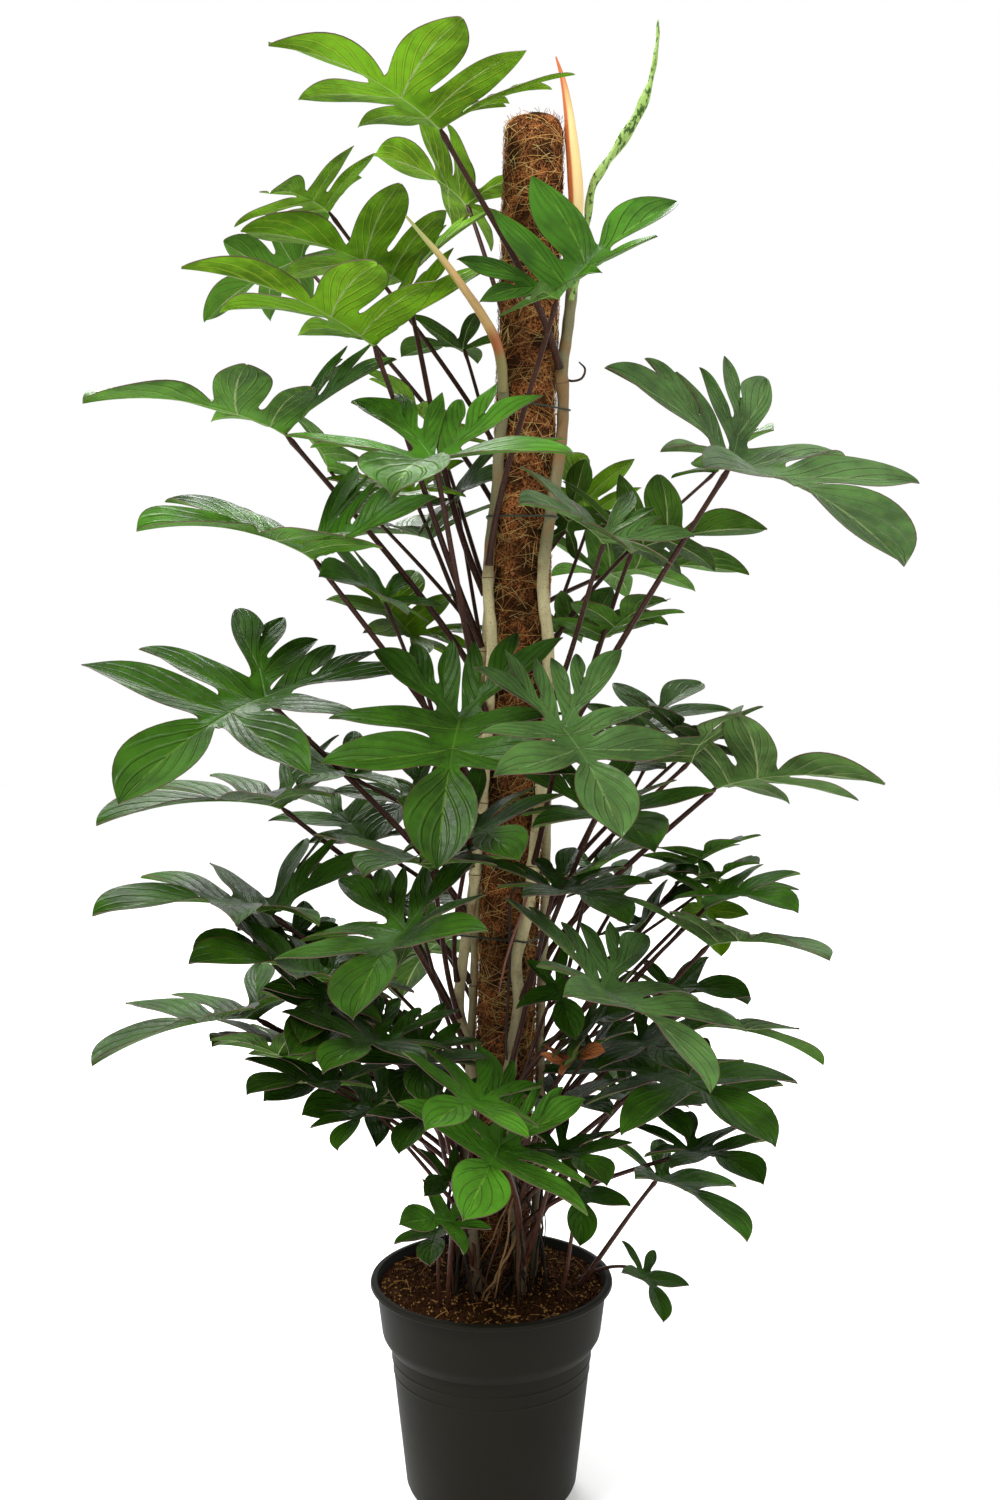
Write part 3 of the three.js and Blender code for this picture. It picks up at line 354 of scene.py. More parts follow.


# Finishes. Every finish is one Principled shader, most with procedural colour and some with bump.


class Finish:
    """A material and the few node calls that the finishes share."""

    def __init__(self, name, roughness=0.5, specular=0.5):
        self.material = bpy.data.materials.new(name)
        self.material.use_nodes = True
        self.tree = self.material.node_tree
        self.shader = self.tree.nodes["Principled BSDF"]
        self.shader.inputs["Roughness"].default_value = roughness
        self.shader.inputs["Specular IOR Level"].default_value = specular

    def node(self, kind, **settings):
        made = self.tree.nodes.new(kind)
        for name, value in settings.items():
            setattr(made, name, value)
        return made

    def join(self, source, target):
        self.tree.links.new(source, target)

    def place(self):
        """Position on the plant, in metres."""
        return self.node("ShaderNodeTexCoord").outputs["Object"]

    def surface(self):
        """The UV of the piece."""
        return self.node("ShaderNodeUVMap", uv_map="surface").outputs["UV"]

    def noise(self, scale, detail=3.0, rough=0.55, stretch=None):
        made = self.node("ShaderNodeTexNoise")
        made.inputs["Scale"].default_value = scale
        made.inputs["Detail"].default_value = detail
        made.inputs["Roughness"].default_value = rough
        where = self.place()
        if stretch is not None:
            mapping = self.node("ShaderNodeMapping")
            mapping.inputs["Scale"].default_value = stretch
            self.join(where, mapping.inputs["Vector"])
            where = mapping.outputs["Vector"]
        self.join(where, made.inputs["Vector"])
        return made.outputs["Fac"]

    def math(self, operation, a, b=0.0, c=0.0):
        made = self.node("ShaderNodeMath", operation=operation)
        for socket, value in zip(made.inputs, (a, b, c)):
            if isinstance(value, (int, float)):
                socket.default_value = value
            else:
                self.join(value, socket)
        return made.outputs[0]

    def steps(self, value, low, high, to_low=0.0, to_high=1.0):
        """A smooth step from to_low to to_high, as value runs from low to high."""
        made = self.node("ShaderNodeMapRange", interpolation_type="SMOOTHSTEP")
        self.join(value, made.inputs["Value"])
        for name, number in zip(("From Min", "From Max", "To Min", "To Max"), (low, high, to_low, to_high)):
            made.inputs[name].default_value = number
        return made.outputs["Result"]

    def mix(self, share, a, b):
        """Colour a going to b."""
        made = self.node("ShaderNodeMix", data_type="RGBA")
        sockets = (made.inputs[0], made.inputs[6], made.inputs[7])
        for socket, value in zip(sockets, (share, a, b)):
            if isinstance(value, (int, float, tuple)):
                socket.default_value = value
            else:
                self.join(value, socket)
        return made.outputs[2]

    def darker_low(self, skin, low, high, share, dark):
        """The colour, darker at the foot of the plant."""
        split = self.node("ShaderNodeSeparateXYZ")
        self.join(self.place(), split.inputs[0])
        return self.mix(self.steps(split.outputs[2], high, low, 0, share), skin, linear(dark))

    def colour(self, source):
        if isinstance(source, tuple):
            self.shader.inputs["Base Color"].default_value = source
        else:
            self.join(source, self.shader.inputs["Base Color"])
        return self

    def roughness(self, source):
        self.join(source, self.shader.inputs["Roughness"])
        return self

    def bump(self, height, distance, strength=1.0):
        made = self.node("ShaderNodeBump")
        made.inputs["Distance"].default_value = distance
        made.inputs["Strength"].default_value = strength
        self.join(height, made.inputs["Height"])
        self.join(made.outputs["Normal"], self.shader.inputs["Normal"])
        return self


def colours():
    return bpy.context.scene.plant_colours


def sizes():
    return bpy.context.scene.plant_sizes


def leaf_finish(name, display, under=False):
    """Leaf skin: faint veins run out along each lobe, a painted sheen lightens a band along each vein, and
    a thin dark line follows the margin.
    """
    look = Finish(name, roughness=0.5, specular=0.03 if under else 0.08)
    split = look.node("ShaderNodeSeparateXYZ")
    look.join(look.surface(), split.inputs[0])
    across, phase = split.outputs[0], split.outputs[1]
    broad = look.math("MULTIPLY_ADD", look.noise(9, 2), 0.6, look.math("MULTIPLY", look.noise(34, 4), 0.4))
    low_tone, high_tone = linear(shade(display, 0.72)), linear(shade(display, 1.2))
    skin = look.mix(look.steps(broad, 0.36, 0.64), low_tone, high_tone)
    blotch = look.steps(look.noise(70, 2), 0.5, 0.72, 0, 0.3)
    skin = look.mix(blotch, skin, linear((display[0] * 1.3, display[1] * 1.1, display[2])))
    swing = look.math("COSINE", look.math("MULTIPLY", phase, 2 * math.pi))
    vein = look.math("MULTIPLY", look.steps(swing, 0.93, 1.0), look.steps(across, 1.0, 0.6))
    # Painted sheen: a pale band along each lateral vein, on the ridges that the bump raises there.
    painted_sheen_band = look.math("MULTIPLY", look.steps(swing, -0.3, 1.0, 0, 0.22), look.steps(across, 0.98, 0.3))
    pale = tuple(min(1, c * k + 0.05) for c, k in zip(display, (1.45, 1.22, 1.45)))
    dark = shade(display, 0.62)
    skin = look.mix(painted_sheen_band, skin, linear(pale))
    vein_share = look.math("MULTIPLY", vein, 0.45 if under else 0.32)
    skin = look.mix(vein_share, skin, linear(pale if under else dark))
    rib = look.steps(across, 0.06, 0.02, 0, 0.6)
    skin = look.mix(rib, skin, linear((0.64, 0.68, 0.48) if under else pale))
    skin = look.mix(look.steps(across, 0.965, 0.99, 0, 0.8), skin, linear((0.25, 0.12, 0.13)))
    look.colour(skin)
    low, high = (0.5, 0.65) if under else (0.28, 0.42)
    look.roughness(look.steps(look.noise(240, 2), 0.3, 0.7, low, high))
    ridges = look.math("MULTIPLY", look.steps(swing, 0.4, 1.0), look.steps(across, 1.0, 0.6))
    grain = look.math("MULTIPLY_ADD", look.noise(160, 3), 0.3, ridges)
    look.bump(grain, 0.002, 0.9)
    return look.material


def stalk_finish():
    base = tuple(colours().stalk)
    look = Finish("stalk", roughness=0.35, specular=0.12)
    streak = look.noise(160, 3, stretch=(1, 1, 0.25))
    skin = look.mix(streak, linear(shade(base, 0.7)), linear((base[0] * 1.5, base[1] * 1.5, base[2] * 1.1)))
    speck = look.steps(look.noise(700, 2), 0.62, 0.72, 0, 0.5)
    skin = look.mix(speck, skin, linear((0.55, 0.42, 0.34)))
    look.colour(skin)
    return look.bump(streak, 0.0004, 0.5).material


def stem_finish(name, base):
    """Stem bark: pale below and olive above, with fine cracks and browner patches."""
    look = Finish(name, roughness=0.6, specular=0.2)
    streak = look.noise(120, 4, stretch=(1, 1, 0.2))
    skin = look.mix(streak, linear(shade(base, 0.72)), linear(shade(base, 1.2)))
    split = look.node("ShaderNodeSeparateXYZ")
    look.join(look.place(), split.inputs[0])
    height = split.outputs[2]
    skin = look.mix(look.steps(height, 0.97, 1.07, 0, 0.88), skin, linear((0.37, 0.36, 0.25)))
    patch = look.steps(look.noise(28, 4), 0.5, 0.66, 0, 0.8)
    skin = look.mix(patch, skin, linear((base[0] * 0.66, base[1] * 0.52, base[2] * 0.42)))
    speck = look.steps(look.noise(600, 2), 0.6, 0.7, 0, 0.6)
    skin = look.mix(speck, skin, linear((0.3, 0.2, 0.13)))
    # The stem turns darker towards its foot, from 0.75 m down to 0.33 m.
    look.colour(look.darker_low(skin, 0.33, 0.75, 0.9, (0.2, 0.14, 0.09)))
    return look.bump(look.noise(300, 5), 0.0008, 0.6).material


# A dark brown that the coir turns towards in broad patches and lower down the pole.
DARK_COIR = (0.1, 0.065, 0.035)


def patchy_darker_low(look, skin):
    """A coir colour, darker in broad patches and towards the soil below."""
    skin = look.mix(look.steps(look.noise(20, 3), 0.44, 0.6, 0, 0.5), skin, linear(DARK_COIR))
    return look.darker_low(skin, 0.35, 0.72, 0.65, DARK_COIR)


def plain_finish(name, display, roughness=0.5, spread=0.25, scale=80, bump=0.0, specular=0.5, coir=False):
    """One colour with a little noise in it. A coir piece is also darker in broad patches and lower down."""
    look = Finish(name, roughness=roughness, specular=specular)
    low_tone, high_tone = linear(shade(display, 1 - spread)), linear(shade(display, 1 + spread))
    skin = look.mix(look.noise(scale, 4), low_tone, high_tone)
    look.colour(patchy_darker_low(look, skin) if coir else skin)
    if bump:
        look.bump(look.noise(scale * 5, 4), bump, 0.6)
    return look.material


def coir_finish(base):
    """Pressed fibre: deep brown painted shade in the hollows under lighter, matted strands."""
    look = Finish("coir", roughness=0.95, specular=0.03)
    # Painted shade: where the bump sinks into hollows the colour falls to a deep brown, and the strands
    # above stay light.
    hollow_shade_mask = look.steps(look.noise(420, 6, 0.7), 0.4, 0.62)
    patch = look.noise(34, 4)
    strands = look.mix(look.steps(patch, 0.38, 0.6), linear(shade(base, 0.6)), linear(shade(base, 1.4)))
    skin = look.mix(hollow_shade_mask, linear(shade(base, 0.3)), strands)
    look.colour(patchy_darker_low(look, skin))
    return look.bump(look.noise(420, 6, 0.7), 0.006, 1.0).material


# Stems


def stem_line(points):
    return smooth_line(points, 12)


def seen(stand, *sightings):
    """A stem's line laid against the front of the pole."""
    return [against(s, -1, stand) for s in sightings]


def ring_of(azimuth, spread, stand, give, seeds, heights):
    """A stem's line up the back or side of the pole."""
    return [
        around_pole(z, azimuth + spread * wobble(seeds[0], i), stand + give * wobble(seeds[1], i))
        for i, z in enumerate(heights)
    ]


STEM_RADII = {"right": 0.0068, "left": 0.0062, "left_back": 0.005, "right_back": 0.0056, "back": 0.006}

STEM_LINES = {
    "right": seen(
        STEM_STAND + STEM_RADII["right"],
        (521, 1290), (519, 1250), (513, 1200), (514, 1150), (508, 1100), (512, 1050), (519, 1000),
        (516, 962), (525, 925), (531, 885), (536, 835), (543, 780), (547, 735), (548, 690),
        (548, 640), (543, 595), (544, 560), (549, 525), (554, 495), (558, 465), (562, 430),
        (563, 400), (562, 372), (567, 335), (572, 290), (574, 250),
    ),
    "left": seen(
        STEM_STAND + STEM_RADII["left"],
        (478, 1290), (474, 1245), (468, 1190), (466, 1140), (472, 1090), (469, 1050), (459, 1010),
        (463, 960), (469, 920), (474, 885), (478, 840), (483, 790), (487, 740), (490, 690),
        (492, 640), (488, 590), (490, 545), (497, 490), (499, 450), (503, 410), (503, 380),
    ),
    "left_back": ring_of(
        148, 5, STEM_STAND + 0.008, 0.003, (11, 12), (0.205, 0.33, 0.45, 0.57, 0.69, 0.8, 0.9, 0.985, 1.02)
    ),
    "right_back": ring_of(
        22, 6, STEM_STAND + 0.007, 0.002, (13, 14), (0.205, 0.32, 0.43, 0.54, 0.64, 0.75, 0.86, 0.93)
    ),
    "back": ring_of(
        97, 9, STEM_STAND + 0.0065, 0.002, (15, 16),
        (0.205, 0.32, 0.44, 0.56, 0.67, 0.79, 0.9, 1.01, 1.12, 1.23, 1.29),
    ),
}
STEM_SAMPLES = {name: stem_line(points) for name, points in STEM_LINES.items()}


def stem_at(name, z):
    """The stem's middle at a height."""
    samples = STEM_SAMPLES[name]
    return np.array([np.interp(z, samples[:, 2], samples[:, k]) for k in range(2)] + [z])


# Leaves. A lobe's vein runs from a foot on a rib to a tip, in shares of the blade's length, along the
# midrib and out to the side. half is its half width, and web is how far the blade joins it to the next.

Lobe = namedtuple("Lobe", "foot tip half web")
LOBES = {
    "full": [
        Lobe((-0.1, 0.1), (-0.5, 0.07), 0.075, 0.07),
        Lobe((-0.15, 0.19), (-0.52, 0.33), 0.07, 0.2),
        Lobe((-0.1, 0.13), (-0.4, 0.57), 0.095, 0.07),
        Lobe((0.08, 0), (0.12, 0.62), 0.075, 0.13),
        Lobe((0.25, 0), (0.46, 0.66), 0.115, 0.1),
    ],
    "broad": [
        Lobe((-0.1, 0.12), (-0.5, 0.14), 0.085, 0.12),
        Lobe((-0.09, 0.12), (-0.38, 0.54), 0.1, 0.08),
        Lobe((0.08, 0), (0.13, 0.63), 0.08, 0.13),
        Lobe((0.25, 0), (0.48, 0.63), 0.11, 0.1),
    ],
    "plain": [
        Lobe((-0.09, 0.11), (-0.44, 0.36), 0.105, 0.1),
        Lobe((0.07, 0), (0.12, 0.6), 0.085, 0.13),
        Lobe((0.24, 0), (0.5, 0.6), 0.11, 0.1),
    ],
    "young": [
        Lobe((-0.04, 0.06), (-0.38, 0.36), 0.1, 0.1),
        Lobe((0.12, 0), (0.36, 0.56), 0.115, 0.12),
    ],
}
TERMINAL = Lobe((0.4, 0), (1, 0), 0.2, 0)
HUB = np.zeros(2)
SINUS = np.array([-0.05, 0])

Leaf = namedtuple(
    "Leaf",
    "tone kind stem start joint depth tip face length roll back cup swing clear arch",
    defaults=(0.35, 0, 0.018, 0.006),
)

# One row for each leaf: its tone and kind, the stem and the height that it leaves (or no stem and where it
# leaves the soil), where its blade joins the stalk as sighted and how deep that lies, its tip as sighted,
# whether the tip is nearer (-1) or further (1), the blade's length, its roll in degrees, and the rise of
# the lobes at the back. cup is the rise at the sides. swing, clear and arch shape the stalk.
LEAVES = [
    Leaf(
        "bright", "full", "right", 1.236, (440, 127), -0.095, (265, 41), -1, 0.215, -5, 1.1,
        swing=-60, clear=0.042,
    ),
    Leaf("bright", "plain", "back", 1.13, (328, 210), 0.085, (268, 191), -1, 0.14, 0, 1),
    Leaf("bright", "full", "left_back", 1, (404, 281), 0.01, (238, 231), -1, 0.2, -5, 1.4),
    Leaf("bright", "full", "left_back", 0.94, (374, 344), -0.085, (178, 268), -1, 0.225, -10, 1.6),
    Leaf("fresh", "plain", "back", 1.06, (300, 258), 0.2, (195, 326), 1, 0.15, 10, 0.3),
    Leaf("bright", "plain", "back", 1.275, (468, 204), 0.108, (374, 153), 1, 0.165, 15, 0.8),
    Leaf("fresh", "broad", "left", 1.018, (557, 297), -0.115, (680, 203), 1, 0.175, 20, 0.8, cup=0.9),
    Leaf("mid", "young", "back", 1.095, (464, 347), 0.075, (400, 357), 1, 0.11, 10, 0.8),
    Leaf("fresh", "full", "left_back", 0.9, (285, 432), -0.02, (78, 398), -1, 0.225, -15, 1.4),
    Leaf("fresh", "full", "left", 0.86, (435, 463), -0.15, (391, 499), -1, 0.21, -10, 1),
    Leaf("fresh", "full", "left", 0.77, (314, 557), -0.1, (133, 527), -1, 0.215, -25, 1.4, clear=0.008),
    Leaf("mid", "plain", "back", 0.84, (431, 537), 0.125, (328, 545), 1, 0.16, -20, 0.8),
    # Painted light: this leaf stands in the shade of the others, and the bright tone lightens it as if it
    # were lit.
    Leaf("bright", "broad", "left_back", 0.72, (411, 635), 0.058, (320, 563), 1, 0.15, -25, 0.8),
    Leaf("mid", "full", "left", 0.64, (265, 697), -0.078, (116, 807), -1, 0.225, -35, 0.6),
    Leaf("mid", "broad", "left_back", 0.56, (281, 806), -0.015, (93, 826), -1, 0.215, -15, 1.1),
    Leaf("deep", "plain", "back", 0.58, (368, 841), 0.095, (292, 790), 1, 0.15, -10, 0.8),
    Leaf("mid", "full", "left", 0.69, (459, 721), -0.152, (437, 872), -1, 0.19, -5, 0.7),
    Leaf("sheen_grey", "full", "right", 0.7, (563, 728), -0.205, (622, 841), -1, 0.15, 5, 0.8),
    Leaf("sheen_grey", "broad", "right_back", 0.64, (637, 735), 0.1, (703, 684), 1, 0.14, 10, 0.8),
    Leaf("sheen_grey", "broad", "right_back", 0.59, (717, 786), -0.015, (886, 788), -1, 0.205, -10, 1),
    Leaf("sheen_grey", "broad", "right", 0.87, (605, 541), -0.12, (517, 505), -1, 0.14, -15, 1.2),
    Leaf("mid", "broad", "right_back", 0.8, (633, 549), 0.015, (769, 530), -1, 0.158, -15, 1.2),
    Leaf("sheen_grey", "full", "right", 0.79, (732, 463), -0.14, (906, 570), -1, 0.235, 12, 1),
    Leaf("fresh", "plain", "back", 0.9, (563, 628), 0.078, (673, 625), 1, 0.125, 0, 0.8),
    Leaf("fresh", "plain", "back", 0.948, (600, 575), 0.172, (752, 574), -1, 0.19, 0, 0.8),
    Leaf("deep", "young", "back", 0.985, (566, 530), 0.058, (588, 448), 1, 0.085, 0, 0.8),
    Leaf("mid", "broad", "left_back", 0.44, (272, 913), -0.06, (89, 915), -1, 0.2, -15, 1.4),
    Leaf("mid", "full", "left", 0.49, (405, 930), -0.185, (353, 1023), -1, 0.165, 8, 0.8),
    Leaf("deep", "broad", "left_back", 0.39, (325, 979), -0.13, (186, 961), -1, 0.15, -12, 0.6),
    Leaf("mid", "broad", "back", 0.34, (256, 1017), 0.01, (89, 1067), -1, 0.205, -8, 0.8),
    Leaf("deep", "plain", "left", 0.36, (298, 1065), -0.02, (208, 1038), -1, 0.125, 0, 0.7),
    Leaf("deep", "plain", "left", 0.305, (372, 1108), -0.07, (337, 1152), -1, 0.09, 0, 0.7),
    Leaf("mid", "broad", "left", 0.325, (438, 1107), -0.126, (398, 1155), -1, 0.095, 0, 0.7),
    Leaf("fresh", "full", "right", 0.29, (500, 1145), -0.196, (461, 1224), -1, 0.15, -25, 1.2),
    Leaf("deep", "young", None, (-0.046, -0.05), (437, 1231), -0.095, (430, 1267), -1, 0.075, 0, 0.7),
    Leaf("deep", "young", None, (0.062, -0.038), (580, 1187), -0.095, (580, 1247), -1, 0.09, 0, 0.7),
    Leaf("fresh", "young", None, (0.078, -0.008), (658, 1178), -0.03, (749, 1243), -1, 0.14, 0, 0.7),
    Leaf("mid", "full", "right", 0.33, (658, 1073), -0.085, (778, 1148), -1, 0.175, 15, 0.5, cup=0.1),
    Leaf("sheen_grey", "full", "right", 0.44, (603, 990), -0.165, (715, 1092), -1, 0.185, -15, 0.8),
    Leaf("deep", "broad", "right", 0.48, (554, 889), -0.115, (631, 925), -1, 0.13, 0, 0.7),
    Leaf("fresh", "plain", "right_back", 0.44, (715, 887), 0.11, (794, 910), 1, 0.125, 0, 0.7),
    Leaf("sheen_grey", "broad", "right_back", 0.39, (710, 943), -0.025, (831, 963), -1, 0.165, 0, 0.7),
    Leaf("deep", "young", "back", 0.4, (672, 994), 0.12, (750, 1003), 1, 0.125, 0, 0.7),
    Leaf("mid", "plain", "right_back", 0.3, (695, 1025), 0.11, (827, 1063), 1, 0.175, 0, 0.7),
    Leaf("deep", "young", None, (0.064, 0.008), (643, 1272), 0, (664, 1323), -1, 0.075, 0, 0.7, arch=0.03),
    Leaf("deep", "plain", "back", 0.46, (440, 940), 0.17, (400, 1000), 1, 0.17, 0, 0.7),
]

# Small leaves half hidden inside the plant
INNER_LEAVES = [
    Leaf("mid", "broad", "left_back", 0.5, (398, 906), 0.015, (286, 868), -1, 0.14, -15, 1.1),
    Leaf("mid", "young", "left_back", 0.47, (416, 916), 0.045, (476, 866), -1, 0.1, 20, 0.8),
    Leaf("deep", "plain", "left", 0.4, (338, 1008), -0.03, (288, 1056), -1, 0.12, -30, 0.9),
    Leaf("fresh", "plain", "right_back", 0.5, (592, 872), 0.02, (660, 846), -1, 0.11, 25, 0.8),
    Leaf("mid", "young", "right", 0.36, (588, 1052), -0.06, (636, 1032), -1, 0.09, 30, 0.8),
    Leaf("deep", "plain", "right", 0.33, (552, 1104), -0.09, (612, 1116), -1, 0.11, 20, 0.8),
    Leaf("bright", "plain", "back", 0.93, (438, 436), 0.06, (358, 368), -1, 0.14, -35, 0.9),
    Leaf("bright", "plain", "back", 0.86, (412, 492), 0.07, (340, 522), -1, 0.13, -35, 0.9),
    Leaf("deep", "broad", "back", 0.62, (424, 792), 0.08, (368, 846), -1, 0.14, -25, 0.9),
    Leaf("sheen_grey", "plain", "right_back", 0.56, (648, 760), 0.06, (600, 812), -1, 0.12, 20, 0.9),
    Leaf("deep", "young", "right", 0.43, (556, 984), -0.06, (576, 1040), -1, 0.08, 20, 0.9),
    Leaf("mid", "broad", "right_back", 0.5, (622, 892), 0.05, (700, 876), -1, 0.14, 30, 0.9),
    Leaf("fresh", "plain", "right_back", 0.46, (690, 866), 0.05, (742, 842), -1, 0.11, 25, 0.9),
    Leaf("deep", "plain", "left", 0.32, (344, 1086), 0.0, (262, 1100), -1, 0.12, -25, 0.9),
    Leaf("deep", "plain", "right", 0.28, (622, 1096), -0.04, (690, 1140), -1, 0.12, 20, 0.9),
    Leaf("mid", "plain", "left_back", 0.36, (318, 942), 0.03, (236, 930), -1, 0.13, -25, 0.9),
    Leaf("deep", "young", "left", 0.26, (452, 1176), -0.08, (424, 1196), -1, 0.07, -20, 0.9),
    Leaf("bright", "plain", "back", 0.8, (590, 520), 0.1, (566, 452), -1, 0.13, 20, 0.9),
    Leaf("mid", "full", "left", 0.52, (432, 868), -0.1, (362, 876), -1, 0.15, -20, 1.1),
    Leaf("deep", "broad", "left", 0.56, (470, 828), -0.1, (520, 862), -1, 0.13, 10, 1.1),
    Leaf("fresh", "plain", "left_back", 0.7, (352, 776), 0.03, (296, 786), -1, 0.14, -25, 1.0),
    Leaf("mid", "broad", "right", 0.55, (598, 812), -0.1, (656, 852), -1, 0.15, 15, 1.0),
    Leaf("deep", "plain", "right_back", 0.38, (640, 1040), -0.02, (690, 1076), -1, 0.13, 20, 0.9),
    Leaf("mid", "broad", "left", 0.35, (384, 1040), -0.08, (322, 1072), -1, 0.13, -20, 0.9),
    Leaf("deep", "plain", "left", 0.3, (420, 1060), -0.12, (398, 1108), -1, 0.11, -10, 0.9),
    Leaf("mid", "plain", "right", 0.26, (560, 1150), -0.12, (608, 1186), -1, 0.1, 15, 0.9),
    Leaf("deep", "plain", "back", 0.34, (610, 1080), 0.1, (668, 1098), 1, 0.13, 20, 0.9),
    Leaf("deep", "broad", "back", 0.4, (386, 980), 0.1, (330, 1010), 1, 0.14, -20, 0.9),
    Leaf("fresh", "plain", "right_back", 0.78, (600, 640), 0.05, (668, 600), -1, 0.13, 20, 0.9),
    Leaf("sheen_grey", "broad", "right_back", 0.66, (690, 748), 0.02, (648, 706), -1, 0.12, -20, 0.9),
    Leaf("mid", "young", "right_back", 0.4, (668, 990), 0.03, (752, 996), -1, 0.105, 55, 0.8),
    Leaf("deep", "young", "right_back", 0.46, (640, 925), 0.02, (703, 888), -1, 0.1, 50, 0.8),
    Leaf("fresh", "young", "back", 0.45, (712, 882), 0.07, (760, 862), -1, 0.085, 45, 0.8),
    Leaf("bright", "young", "right_back", 0.42, (704, 903), 0.05, (722, 957), -1, 0.075, 30, 0.8),
    Leaf("fresh", "plain", "right_back", 0.44, (716, 896), 0.04, (800, 912), -1, 0.12, 40, 0.9),
    Leaf("mid", "broad", "right", 0.32, (690, 1090), -0.03, (772, 1140), -1, 0.14, 35, 0.8),
    Leaf("mid", "plain", "right", 0.3, (690, 1150), -0.04, (765, 1185), -1, 0.12, 20, 0.8),
    Leaf("deep", "plain", "right", 0.38, (585, 1030), -0.05, (640, 1010), -1, 0.1, 30, 0.8),
    Leaf("deep", "broad", "left_back", 0.42, (292, 955), -0.02, (190, 955), -1, 0.14, -30, 0.9),
    Leaf("deep", "plain", "left", 0.4, (330, 985), -0.05, (300, 1045), -1, 0.11, -20, 0.9),
    Leaf("mid", "broad", "left_back", 0.38, (300, 1050), -0.02, (210, 1045), -1, 0.13, -30, 0.9),
    Leaf("deep", "plain", "left", 0.35, (330, 1085), -0.02, (245, 1095), -1, 0.12, -30, 0.9),
    Leaf("deep", "plain", "left", 0.33, (395, 1105), -0.05, (300, 1115), -1, 0.12, -30, 0.9),
    Leaf("mid", "plain", "left", 0.36, (418, 1050), -0.12, (427, 1108), -1, 0.11, 0, 0.9),
    Leaf("fresh", "plain", "left", 0.31, (480, 1100), -0.15, (425, 1130), -1, 0.12, -20, 0.9),
    Leaf("fresh", "young", None, (-0.04, -0.055), (452, 1222), -0.09, (398, 1225), -1, 0.08, -30, 0.8),
    Leaf("fresh", "plain", "left_back", 0.74, (385, 600), 0.0, (318, 575), -1, 0.12, -55, 0.9),
    Leaf("sheen_grey", "broad", "right_back", 0.64, (690, 760), -0.02, (742, 712), -1, 0.13, 50, 0.9),
    Leaf("dry", "young", "right", 0.37, (566, 1062), -0.1, (606, 1052), -1, 0.055, 30, 1.6),
    Leaf("fresh", "plain", "back", 0.9, (330, 470), 0.05, (290, 412), -1, 0.12, -45, 0.9),
    Leaf("mid", "plain", "back", 0.84, (455, 500), 0.05, (500, 478), -1, 0.11, 30, 0.9),
    Leaf("fresh", "young", "right_back", 0.95, (716, 470), 0.06, (775, 430), -1, 0.11, 45, 0.9),
]

FACE_OUT = 0.35
DROOP = 0.6

# How a leaf is divided: shares across a lobe from its vein to its margin, shares along it, sides of its
# stalk, and steps on a rib. The leaves that are half hidden inside the plant have fewer faces.
Division = namedtuple("Division", "across along sides")
FINE = Division(np.array([0, 0.05, 0.16, 0.38, 0.62, 0.86, 1.0]), np.linspace(0, 1, 20), 10)
PLAIN = Division(np.array([0, 0.07, 0.34, 0.7, 1.0]), np.linspace(0, 1, 12), 8)
RIB_STEPS = 3

# How far an inner leaf may be moved along the line of sight, and turned in degrees, to clear the others
DEPTH_MOVES = (0, 0.015, -0.015, 0.03, -0.03, 0.05, -0.05)
ROLL_MOVES = (0, 12, -12)
LATERALS = 4
LATERAL_LEAN = 0.62

# How far a lobe's tip is drawn to one side, along, and its width, from leaf to leaf
TIP_TURN = 0.09
TIP_REACH = 0.09
HALF_SPREAD = 0.12


class LobePlan:
    """A lobe laid out flat: side is 1 left, -1 right, 0 terminal."""

    def __init__(self, lobe, side, seed, k):
        flip = side or 1
        self.side = side
        self.web = lobe.web
        self.foot = np.array([lobe.foot[0], lobe.foot[1] * flip])
        turn = TIP_TURN * wobble(seed, k)
        reach = 1 + TIP_REACH * wobble(seed, k + 40) if side else 1
        x, y = lobe.tip[0] - lobe.foot[0], lobe.tip[1] - lobe.foot[1]
        if side:
            x, y = x * math.cos(turn) - y * math.sin(turn), x * math.sin(turn) + y * math.cos(turn)
        self.tip = np.array([lobe.foot[0] + x * reach, (lobe.foot[1] + y * reach) * flip])
        self.half = lobe.half * (1 + HALF_SPREAD * wobble(seed, k + 80))
        self.reach = np.linalg.norm(self.tip - self.foot)
        self.along = (self.tip - self.foot) / self.reach
        self.curl = wobble(seed, k + 120)
        self.twist = wobble(seed, k + 160)
        self.phase = wobble(seed, k + 200)

    def vein(self, t):
        """Points of the midline at shares t."""
        bow = np.array([self.along[1], -self.along[0]]) * self.side
        t = t[:, None]
        return self.foot + self.along * self.reach * t + bow * 0.03 * 4 * t * (1 - t)

    def margin(self, hand, start, toward, shares):
        """Points of one margin (hand 1 is left of the vein) from a notch to the tip."""
        normal = np.array([-self.along[1], self.along[0]]) * hand
        near_by, share, far_by = (1.7, 0.76, 1.15) if self.side else (1.6, 0.8, 1.25)
        near = self.foot + self.along * 0.4 * self.reach + normal * self.half * near_by
        far = self.foot + self.along * share * self.reach + normal * self.half * far_by
        drip = self.foot + self.along * 0.95 * self.reach + normal * self.half * 0.12
        return bezier([start, start + toward, near, far, drip, self.tip], shares)


def lobe_plans(kind, seed):
    half = LOBES[kind]
    right = [LobePlan(lobe, -1, seed, k) for k, lobe in enumerate(half)]
    left = [LobePlan(lobe, 1, seed, k + 10) for k, lobe in enumerate(half)][::-1]
    return [*right, LobePlan(TERMINAL, 0, seed, 20), *left]


